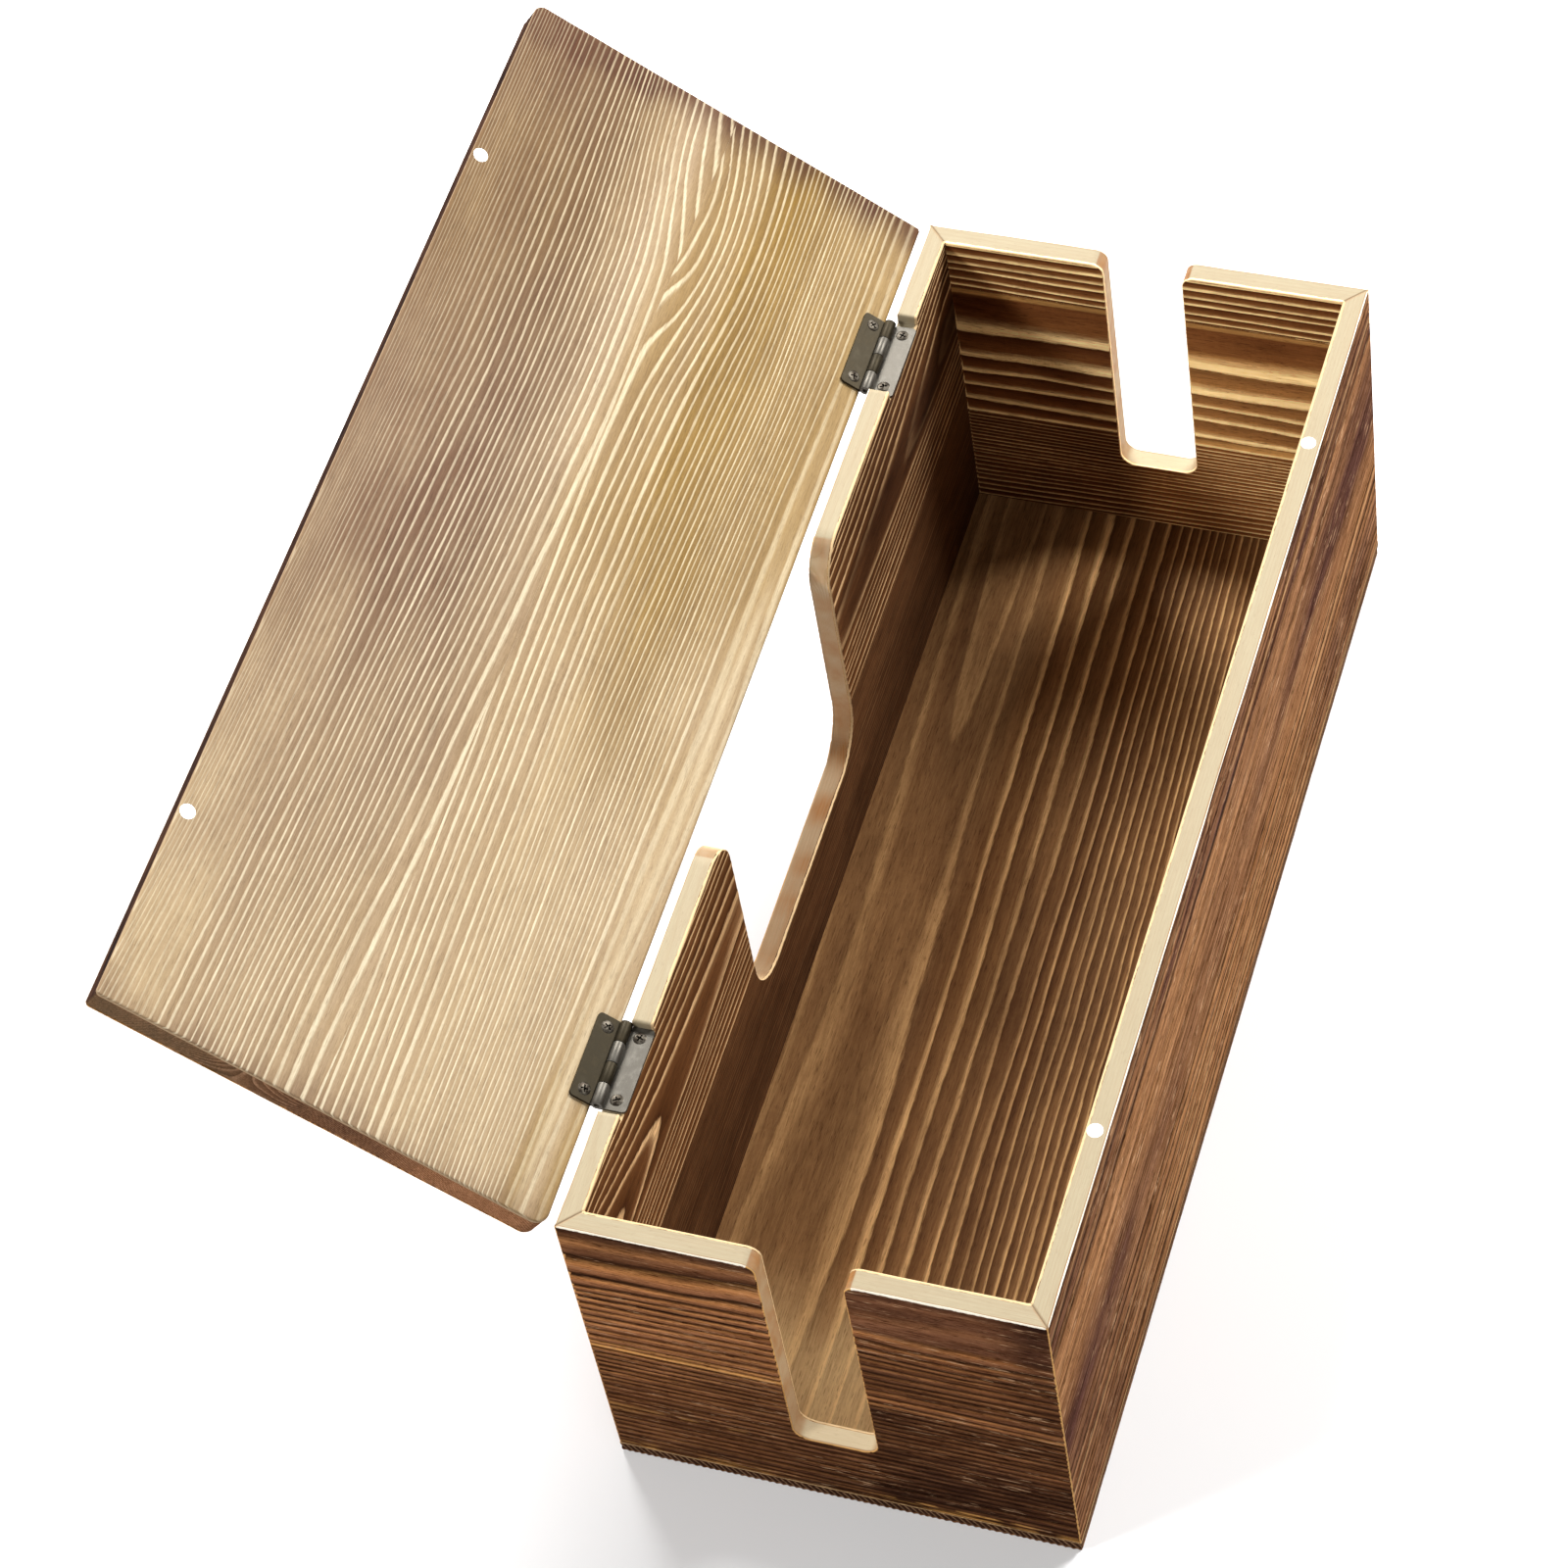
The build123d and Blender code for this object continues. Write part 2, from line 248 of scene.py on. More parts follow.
def graded(lo, hi, step, fine, spots):
    """Grid lines from lo to hi about step apart, and about fine apart within (a, b) ranges, passing exactly through every a and b."""
    stops = sorted({lo, hi, *[x for r in spots for x in r if lo < x < hi]})
    out = [lo]
    for a, b in zip(stops[:-1], stops[1:]):
        mid = (a + b) / 2
        h = fine if any(r[0] <= mid <= r[1] for r in spots) else step
        n = max(1, int(math.ceil((b - a) / h - 1e-6)))
        out += list(np.linspace(a, b, n + 1)[1:])
    return np.array(out)


KEYS = ("ring", "amp", "tone", "burn", "pale")


def build_board(name, S, T, sdf, c, thick, place, face_a, face_b, side, edge_rows=12, body="box", node=None, warp=None):
    """A board with face A at depth 0 and face B at depth thick. sdf is the outline; c the width of its eased arris.
    place(s, t, d) -> mm. face_x(s, t) -> dict of KEYS, depth. side(s, t, normal) -> dict(mat, ra, rb, m, wa, wb, tone, amp, rough) at the outline."""
    SS, TT = np.meshgrid(S, T, indexing="ij")
    if warp is not None:
        TT = warp(SS, TT)
    P, quads, polys = clip_grid(SS, TT, lambda s, t: sdf(s, t) + c)
    N = len(P)
    s, t = P[:, 0], P[:, 1]
    A, B = face_a(s, t), face_b(s, t)
    inner = -sdf(s, t)
    loops = [np.array(loop) for loop in loops_of(quads, polys)]
    wa, wb = np.zeros(N), np.zeros(N)
    infos = []
    for loop in loops:
        q = P[loop]
        e = np.roll(q, -1, 0) - q
        e /= np.maximum(np.hypot(*e.T), 1e-9)[:, None]
        n = np.stack([e[:, 1], -e[:, 0]], 1)
        n0 = np.roll(n, 1, 0)
        miter = (n + n0) / np.maximum(1 + (n * n0).sum(1), 0.25)[:, None]
        info = side(q[:, 0], q[:, 1], miter)
        infos.append((q, miter, info))
    # how far the arris is sanded through, carried inwards from the nearest outline point; the highest wear also brings
    # a painted highlight in the charred woods
    rim = np.concatenate([q for q, _, _ in infos])
    rim_wa = np.concatenate([i["wa"] for _, _, i in infos])
    rim_wb = np.concatenate([i["wb"] for _, _, i in infos])
    close = np.nonzero(inner < c + 2.5)[0]
    for k in range(0, len(close), 4000):
        sel = close[k:k + 4000]
        near = ((P[sel, None, :] - rim[None]) ** 2).sum(2).argmin(1)
        wa[sel], wb[sel] = rim_wa[near], rim_wb[near]
    cols = dict(s=[s, s], t=[t, t], d=[A["depth"], thick - B["depth"]], edge=[inner, inner], wear=[wa, wb])
    for k in KEYS:
        cols[k] = [A[k], B[k]]
    faces = [quads[:, ::-1], quads + N]
    mats = [np.zeros(len(quads), int), np.ones(len(quads), int)]
    others, other_mats = [], []
    for p in polys:
        others.append(p[::-1])
        other_mats.append(0)
        others.append([q + N for q in p])
        other_mats.append(1)
    base = 2 * N
    R = 4
    for loop, (q, miter, info) in zip(loops, infos):
        m, L = info["m"], len(loop)
        hA, hB = A["depth"][loop], B["depth"][loop]
        rows = []
        for k in range(1, R + 1):  # eased arris of face A
            th = np.radians(90 - 45 * m) * k / R
            flat = info["ra"] < 1e-6
            off = np.where(flat, c * k / R, c * (np.sin(th) + m * (1 - np.cos(th))))
            rows.append((off, info["ra"] * (1 - np.cos(th)) + hA * (1 - k / R), 0))
        a_end = info["ra"] * (1 - np.cos(np.radians(90 - 45 * m)))
        b_end = thick - info["rb"]
        for k in range(1, edge_rows):
            rows.append((np.full(L, c), a_end + (b_end - a_end) * k / edge_rows, 2))
        for k in range(R, 0, -1):  # eased arris of face B
            th = np.pi / 2 * k / R
            flat = info["rb"] < 1e-6
            off = np.where(flat, c * k / R, c * np.sin(th))
            rows.append((off, thick - info["rb"] * (1 - np.cos(th)) - hB * (1 - k / R), 1))
        prev, prev_kind = loop, 0
        for off, dep, kind in rows:
            ss, tt = q[:, 0] + miter[:, 0] * off, q[:, 1] + miter[:, 1] * off
            a2, b2 = face_a(ss, tt, True), face_b(ss, tt, True)
            w = np.clip(dep / thick, 0, 1)
            mixed = {k: a2[k] * (1 - w) + b2[k] * w for k in KEYS}
            if kind == 2:
                rel = info["rough"](ss, tt, dep, mixed["ring"])
                ss, tt = ss - miter[:, 0] * rel, tt - miter[:, 1] * rel
                keep = info["mat"] < 2
                mixed["tone"] = np.where(keep, mixed["tone"], info["tone"] + 0 * ss)
                mixed["burn"] = np.where(keep, mixed["burn"], 0)
                mixed["amp"] = np.where(keep, mixed["amp"], info["amp"] + 0 * ss)
                mixed["pale"] = np.where(keep, mixed["pale"], info.get("pale", 0) + 0 * ss)
                if "ring" in info:
                    mixed["ring"] = np.where(keep, mixed["ring"], info["ring"](ss, tt, dep))
            elif kind == 1 and "jag" in info:
                rel = info["jag"] * info["rough"](ss, tt, b_end, mixed["ring"]) * off / c
                ss, tt = ss - miter[:, 0] * rel, tt - miter[:, 1] * rel
            cols["s"].append(ss)
            cols["t"].append(tt)
            cols["d"].append(dep)
            for k in KEYS:
                cols[k].append(mixed[k])
            cols["edge"].append(np.where(info["m"] > 0, 0.0, np.minimum(dep - a_end, b_end - dep)) if kind == 2 else c - off)
            cols["wear"].append(info["wb"] if kind == 1 else info["wa"])
            cur = base + np.arange(L)
            base += L
            faces.append(np.stack([prev, np.roll(prev, -1), np.roll(cur, -1), cur], 1))
            sidey = kind == 2 or prev_kind == 2
            sidey = sidey and not (kind == 1 and prev_kind == 2)
            mats.append(info["mat"] if sidey else np.full(L, kind))
            prev, prev_kind = cur, kind
        last = loop + N
        faces.append(np.stack([prev, np.roll(prev, -1), np.roll(last, -1), last], 1))
        mats.append(np.ones(L, int))
    cat = {k: np.concatenate([np.broadcast_to(x, y.shape) if np.ndim(x) == 0 else x for x, y in zip(v, cols["s"])]) for k, v in cols.items()}
    co = place(cat["s"], cat["t"], cat["d"]) * MM
    F = np.concatenate(faces)
    mesh = bpy.data.meshes.new(name)
    nv, nf = len(co), len(F) + len(others)
    loops_total = F.size + sum(len(o) for o in others)
    verts_flat = np.concatenate([F.ravel()] + [np.array(o) for o in others]) if others else F.ravel()
    sizes = np.concatenate([np.full(len(F), 4), np.array([len(o) for o in others], int)]) if others else np.full(len(F), 4)
    mesh.vertices.add(nv)
    mesh.vertices.foreach_set("co", co.astype(np.float32).ravel())
    mesh.loops.add(loops_total)
    mesh.loops.foreach_set("vertex_index", verts_flat.astype(np.int32))
    mesh.polygons.add(nf)
    mesh.polygons.foreach_set("loop_start", np.concatenate([[0], np.cumsum(sizes)[:-1]]).astype(np.int32))
    mesh.polygons.foreach_set("material_index", np.concatenate([*mats, np.array(other_mats, int)]).astype(np.int32))
    mesh.update(calc_edges=True)
    mesh.validate()
    for key in KEYS + ("edge", "wear"):
        at = mesh.attributes.new(key, "FLOAT", "POINT")
        at.data.foreach_set("value", cat[key].astype(np.float32))
    at = mesh.attributes.new("grain", "FLOAT_VECTOR", "POINT")
    at.data.foreach_set("vector", np.stack([cat["s"], cat["t"], cat["d"]], 1).astype(np.float32).ravel())
    # a flat map: face A above face B, the sides in strips
    uv = mesh.uv_layers.new(name="OFBake")
    ls, lt, ld = cat["s"][verts_flat], cat["t"][verts_flat], cat["d"][verts_flat]
    mi = np.repeat(np.concatenate([*mats, np.array(other_mats, int)]), sizes)
    s0, s1, t0, t1 = S[0] - 1, S[-1] + 1, T[0] - 1, T[-1] + 1
    span = max(s1 - s0, 2 * (t1 - t0) + 60)
    u = (ls - s0) / span
    v = np.where(mi == 0, (lt - t0) / span, np.where(mi == 1, ((t1 - t0) + 3 + lt - t0) / span, 0))
    # the side strips: unrolled by the sum of both coordinates along the outline
    ends = np.concatenate([[0], np.cumsum(sizes)[:-1]])
    ds = np.maximum.reduceat(ls, ends) - np.minimum.reduceat(ls, ends)
    dt = np.maximum.reduceat(lt, ends) - np.minimum.reduceat(lt, ends)
    mt = np.add.reduceat(lt, ends) / sizes
    ms = np.add.reduceat(ls, ends) / sizes
    steep = np.repeat(dt > ds, sizes)
    far_t = np.repeat(mt > (t0 + t1) / 2, sizes)
    far_s = np.repeat(ms > (s0 + s1) / 2, sizes)
    y0 = 2 * (t1 - t0) + 6
    sv = np.where(steep, y0 + 2 * (thick + 2) + ld + np.where(far_s, thick + 2, 0), y0 + ld + np.where(far_t, thick + 2, 0))
    su = np.where(steep, lt - t0, ls - s0)
    side_face = mi >= 2
    u = np.where(side_face, su / span, u)
    v = np.where(side_face, sv / span, v)
    uv.data.foreach_set("uv", np.stack([u, v], 1).astype(np.float32).ravel())
    bm = bmesh.new()
    bm.from_mesh(mesh)
    bmesh.ops.recalc_face_normals(bm, faces=bm.faces)
    bm.to_mesh(mesh)
    bm.free()
    mesh.polygons.foreach_set("use_smooth", np.ones(len(mesh.polygons), bool))
    ob = bpy.data.objects.new(name, mesh)
    bpy.context.scene.collection.objects.link(ob)
    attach(ob, body)
    if node:
        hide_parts(node)
    return ob


# ------------------------------------------------------------------ material helpers
def srgb(r, g, b):
    f = lambda x: (x / 255 / 12.92) if x / 255 <= 0.04045 else ((x / 255 + 0.055) / 1.055) ** 2.4
    return (f(r), f(g), f(b), 1.0)


class Nodes:
    def __init__(self, name):
        self.mat = bpy.data.materials.new(name)
        self.mat.use_nodes = True
        self.nt = self.mat.node_tree
        self.nt.nodes.clear()
        self.out = self.nt.nodes.new("ShaderNodeOutputMaterial")
        self.bsdf = self.nt.nodes.new("ShaderNodeBsdfPrincipled")
        self.nt.links.new(self.bsdf.outputs[0], self.out.inputs[0])

    def put(self, socket, value):
        if value is None:
            return
        if hasattr(value, "is_output"):
            self.nt.links.new(value, socket)
        else:
            socket.default_value = value

    def attr(self, name):
        n = self.nt.nodes.new("ShaderNodeAttribute")
        n.attribute_name = name
        return n

    def math(self, op, a, b=None, c=None, clamp=False):
        n = self.nt.nodes.new("ShaderNodeMath")
        n.operation, n.use_clamp = op, clamp
        for i, x in enumerate((a, b, c)):
            if x is not None:
                self.put(n.inputs[i], x)
        return n.outputs[0]

    def mul(self, *xs):
        r = xs[0]
        for x in xs[1:]:
            r = self.math("MULTIPLY", r, x)
        return r

    def add(self, *xs):
        r = xs[0]
        for x in xs[1:]:
            r = self.math("ADD", r, x)
        return r

    def noise(self, vec, scale=1.0, detail=2.0, rough=0.5, dist=0.0):
        n = self.nt.nodes.new("ShaderNodeTexNoise")
        self.put(n.inputs["Vector"], vec)
        n.inputs["Scale"].default_value = scale
        n.inputs["Detail"].default_value = detail
        n.inputs["Roughness"].default_value = rough
        n.inputs["Distortion"].default_value = dist
        return n.outputs["Fac"]

    def centred(self, vec, detail=2.0, rough=0.5):
        """Noise about -1 to 1."""
        return self.math("MULTIPLY_ADD", self.noise(vec, 1.0, detail, rough), 3.2, -1.6)

    def scaled(self, vec, sx, sy, sz, off=0.0):
        n = self.nt.nodes.new("ShaderNodeVectorMath")
        n.operation = "MULTIPLY_ADD"
        self.put(n.inputs[0], vec)
        n.inputs[1].default_value = (sx, sy, sz)
        n.inputs[2].default_value = (off, off * 1.7, off * 0.6)
        return n.outputs[0]

    def ramp(self, fac, stops, mode="LINEAR"):
        n = self.nt.nodes.new("ShaderNodeValToRGB")
        n.color_ramp.interpolation = mode
        el = n.color_ramp.elements
        while len(el) < len(stops):
            el.new(0.5)
        for e, (p, col) in zip(el, stops):
            e.position = p
            e.color = col if hasattr(col, "__len__") else (col, col, col, 1)
        self.put(n.inputs[0], fac)
        return n.outputs[0]

    def mix(self, fac, a, b, mode="MIX"):
        n = self.nt.nodes.new("ShaderNodeMix")
        n.data_type, n.blend_type = "RGBA", mode
        n.clamp_factor = True
        self.put(n.inputs[0], fac)
        self.put(n.inputs[6], a)
        self.put(n.inputs[7], b)
        return n.outputs[2]

    def remap(self, x, a, b, c=0.0, d=1.0, kind="SMOOTHSTEP"):
        n = self.nt.nodes.new("ShaderNodeMapRange")
        n.interpolation_type = kind
        self.put(n.inputs[0], x)
        for i, v in zip((1, 2, 3, 4), (a, b, c, d)):
            self.put(n.inputs[i], v)
        return n.outputs[0]

    def grey(self, k, warm=0.12):
        """A factor as a colour that darkens blue a little faster than red."""
        n = self.nt.nodes.new("ShaderNodeCombineXYZ")
        for i in range(3):
            self.put(n.inputs[i], k if i == 0 else self.math("POWER", k, 1.0 + warm * i))
        return n.outputs[0]

    def bump(self, height, strength, distance, normal=None):
        n = self.nt.nodes.new("ShaderNodeBump")
        n.inputs["Strength"].default_value = strength
        n.inputs["Distance"].default_value = distance
        self.put(n.inputs["Height"], height)
        if normal is not None:
            self.put(n.inputs["Normal"], normal)
        return n.outputs[0]


def wood(name, base, line, mask, flat, smoke_and_shade, scorch, gold, gain=(1, 1, 1), keep=0.35, raw=(236, 216, 176), rough=0.6, spec=0.15, fine=0.10, mid=0.08,
         broad=0.06, stain=0.1, pores=0.3, dashes=0.0, ripple=0.0, bump=0.3, jitter=0.10, up=1.0, raw2=None, speck=0.0, grit=0.6, dash=2.4):
    """Brushed wood. base: colours of the soft part over one growth ring; line and mask: colour and place of the hard
    line in the ring;
    flat: colour where the rings don't show; smoke, scorch: tints of smoked and burnt places, which the hard lines take
    by 'keep' only;
    the smoke tint also paints shade where a face function raises 'tone' for it;
    gold: colour of single bare lines; raw: colour of a sanded-through arris; raw2: the colour where 'wear' is highest,
    bare wood and a painted highlight."""
    N = Nodes(name)
    grain = N.attr("grain").outputs["Vector"]
    ring, amp, tone, burn, pale, edge, wear = (N.attr(k).outputs["Fac"] for k in ("ring", "amp", "tone", "burn", "pale", "edge", "wear"))
    r = N.add(ring, N.mul(N.centred(N.scaled(grain, 0.15, 2.2, 1.6), 3, 0.55), jitter * 0.5))
    t = N.math("FRACT", r)
    m = N.mul(N.ramp(t, mask), amp)
    f1 = N.centred(N.scaled(grain, 0.035, 1.25, 1.2), 4, 0.62)
    f2 = N.centred(N.scaled(grain, 0.11, 3.6 * grit, 3.2 * grit, 3.0), 4, 0.66)
    f3 = N.centred(N.scaled(grain, 0.014, 0.34, 0.3, 7.0), 2, 0.5)
    mott = N.centred(N.scaled(grain, 0.03, 0.10, 0.1, 2.0), 4, 0.6)
    patch = N.centred(N.scaled(grain, 0.10, 0.9, 0.8, 9.0), 3, 0.6)
    tone2 = N.math("ADD", tone, N.mul(N.add(mott, N.mul(patch, 0.5)), stain), clamp=True)
    burn2 = N.math("ADD", burn, N.mul(N.math("SUBTRACT", patch, N.mul(mott, 0.4)), stain * 0.7), clamp=True)
    white = (1, 1, 1, 1)
    soft = N.mix(amp, srgb(*flat), N.ramp(t, [(p, srgb(*c)) for p, c in base]))
    # The smoke tint also lays down the painted shade that some face functions put into 'tone'.
    soft = N.mix(1.0, soft, N.mix(tone2, white, srgb(*smoke_and_shade)), "MULTIPLY")
    soft = N.mix(1.0, soft, N.mix(burn2, white, srgb(*scorch)), "MULTIPLY")
    hard = N.mix(1.0, srgb(*line), N.mix(N.mul(tone2, keep), white, srgb(*smoke_and_shade)), "MULTIPLY")
    hard = N.mix(1.0, hard, N.mix(N.mul(burn2, keep), white, srgb(*scorch)), "MULTIPLY")
    col = N.mix(N.math("MULTIPLY", m, N.add(0.92, N.mul(f3, 0.18), N.mul(f1, 0.12)), clamp=True), soft, hard)
    k = N.add(1.0, N.mul(f1, mid), N.mul(f2, fine), N.mul(f3, broad))
    if ripple:
        rp = N.centred(N.scaled(grain, 1.05, 0.10, 0.1, 11.0), 1, 0.4)
        where = N.remap(N.noise(N.scaled(grain, 0.02, 0.05, 0.05, 5.0), 1.0, 2), 0.42, 0.62)
        k = N.add(k, N.mul(rp, where, ripple))
    k = N.math("MAXIMUM", k, 0.05)
    col = N.mix(1.0, col, N.grey(k), "MULTIPLY")
    col = N.mix(N.math("MULTIPLY", pale, N.add(0.72, N.mul(f1, 0.28), N.mul(f2, 0.2)), clamp=True), col, srgb(*gold))
    if pores:
        p = N.remap(N.noise(N.scaled(grain, 0.25, 6.5 * grit, 5.5 * grit, 1.0), 1.0, 1, 0.5), 0.60, 0.70)
        col = N.mix(N.mul(p, pores), col, N.mix(1.0, col, srgb(112, 88, 72), "MULTIPLY"))
    if dashes:
        p = N.remap(N.noise(N.scaled(grain, 0.12, dash, dash, 4.0), 1.0, 3, 0.62), 0.58, 0.70)
        some = N.remap(N.noise(N.scaled(grain, 0.03, 0.12, 0.1, 6.0), 1.0, 2), 0.38, 0.60)
        col = N.mix(N.mul(p, some, dashes), col, srgb(204, 162, 124))
    if speck:
        sp = N.centred(N.scaled(grain, 0.9, 2.6, 2.6, 6.0), 2, 0.7)
        col = N.mix(1.0, col, N.grey(N.math("MAXIMUM", N.add(1.0, N.mul(sp, speck)), 0.1)), "MULTIPLY")
    rn = N.centred(N.scaled(grain, 0.45, 1.6, 1.6, 8.0), 3, 0.65)
    lim = N.mul(wear, N.add(1.0, N.mul(rn, 0.55), N.mul(m, -0.55 if up < 0 else 0.0)))
    bare = N.remap(N.math("SUBTRACT", edge, lim), 0.05, -0.12)
    # The second raw colour, on the most worn arrises, is bare wood and a painted highlight.
    rawc = srgb(*raw) if raw2 is None else N.mix(N.remap(wear, 0.39, 0.45), srgb(*raw), srgb(*raw2))
    col = N.mix(bare, col, N.mix(1.0, rawc, N.grey(N.add(1.0, N.mul(f1, 0.05), N.mul(rn, 0.06))), "MULTIPLY"))
    N.put(N.bsdf.inputs["Base Color"], N.mix(1.0, col, (*gain, 1.0), "MULTIPLY"))
    N.put(N.bsdf.inputs["Roughness"], N.add(rough, N.mul(f1, 0.06)))
    N.bsdf.inputs["Specular IOR Level"].default_value = spec
    h = N.add(N.mul(m, 0.07 * up), N.mul(f1, 0.018), N.mul(f2, 0.012))
    N.put(N.bsdf.inputs["Normal"], N.bump(h, bump, 0.001))
    return N.mat


def bare_wood(name, cream, tan, line, gain=(1, 1, 1), fine=0.07, lines=0.35, spec=0.2):
    """Sawn wood of rims, slots and sills: cream where fresh, tan where 'tone' says, and brighter where 'pale' paints
    light.
    """
    N = Nodes(name)
    grain = N.attr("grain").outputs["Vector"]
    ring, amp, tone = (N.attr(k).outputs["Fac"] for k in ("ring", "amp", "tone"))
    f1 = N.centred(N.scaled(grain, 0.06, 2.4, 3.4), 3, 0.6)
    f2 = N.centred(N.scaled(grain, 0.25, 7.0, 7.0, 3.0), 2, 0.6)
    f3 = N.centred(N.scaled(grain, 0.03, 0.18, 0.25, 7.0), 2, 0.5)
    t = N.math("FRACT", N.add(ring, N.mul(f1, 0.05)))
    tone2 = N.math("ADD", tone, N.mul(N.add(f3, N.mul(f1, 0.35)), N.add(0.05, N.mul(tone, 0.35))), clamp=True)
    col = N.mix(tone2, srgb(*cream), srgb(*tan))
    band = N.mul(N.remap(t, 0.45, 0.9), N.remap(t, 1.0, 0.96))
    col = N.mix(N.mul(band, amp, lines), col, srgb(*line))
    col = N.mix(1.0, col, N.grey(N.add(1.0, N.mul(f1, fine), N.mul(f2, fine * 1.1)), 0.2), "MULTIPLY")
    p = N.remap(N.noise(N.scaled(grain, 0.4, 6.0, 6.0, 1.0), 1.0, 1, 0.5), 0.68, 0.76)
    col = N.mix(N.mul(p, 0.35), col, srgb(150, 112, 74))
    # 'pale' is painted light on slot sills, slot sides and the cut-out's slopes: it raises the gain up to 1.9 times.
    sill = N.attr("pale").outputs["Fac"]
    N.put(N.bsdf.inputs["Base Color"], N.mix(1.0, col, N.mix(sill, (*gain, 1.0), (*[g * 1.9 for g in gain], 1.0)), "MULTIPLY"))
    N.bsdf.inputs["Roughness"].default_value = 0.6
    N.bsdf.inputs["Specular IOR Level"].default_value = spec
    N.put(N.bsdf.inputs["Normal"], N.bump(N.add(N.mul(f1, 0.02), N.mul(f2, 0.02), N.mul(band, amp, 0.04)), 0.35, 0.001))
    return N.mat


# ------------------------------------------------------------------ figures of the boards
def strips(parts, bounds, s, t):
    """parts are figures; bounds are functions of s that part them."""
    r = parts[0](s, t)
    for f, b in zip(parts[1:], bounds):
        r = np.where(t > b(s), f(s, t), r)
    return r


def uneven_amp(ring, s, n, low, seed=0):
    """Line strength that changes from ring to ring and slowly along each."""
    k = np.floor(ring)
    a = 0.5 + 0.62 * n(k * 0.71 + 17.3 + seed, s / 160 + 3.1)
    b = 0.5 + 0.5 * n(ring * 0.37 + 71 + seed, s / 60 + 9)
    return low + (1 - low) * np.clip(0.30 + 0.9 * (0.65 * a + 0.35 * b), 0, 1)


def relief(ring, amp, deep, kind, fade=1.0):
    """Depth below the nominal face. 'ridge': hard lines stand proud at the end of each ring; 'groove': dark lines are brushed out."""
    f = ring - np.floor(ring)
    if kind == "ridge":
        return deep * fade * amp * (1 - smooth(0.60, 0.80, f) * smooth(1.0, 0.955, f))
    return deep * fade * amp * (1 - smooth(0.03, 0.22, f) * smooth(1.0, 0.93, f) + 0.35 * f)


nz, nz2 = Noise(5), Noise(6)


def face_dict(ring, amp, tone, burn=0.0, pale=0.0, depth=0.0):
    z = np.zeros(np.shape(ring))
    c = lambda x, hi=1.0: np.clip(x + z, 0, hi)
    return dict(ring=ring, amp=c(amp), tone=c(tone), burn=c(burn), pale=c(pale), depth=c(depth, 2))


def band(t, a, b, soft=1.0):
    return smooth(a - soft, a + soft, t) * smooth(b + soft, b - soft, t)


def line(s, t, pts, width, s0=None, s1=None, fade=12.0):
    """A soft line through (s, t) points, limited to s0..s1."""
    c = np.interp(s, [p[0] for p in pts], [p[1] for p in pts])
    g = np.exp(-(((t - c) / width) ** 2))
    if s0 is not None:
        g = g * smooth(s0 - fade, s0 + fade, s)
    if s1 is not None:
        g = g * smooth(s1 + fade, s1 - fade, s)
    return g


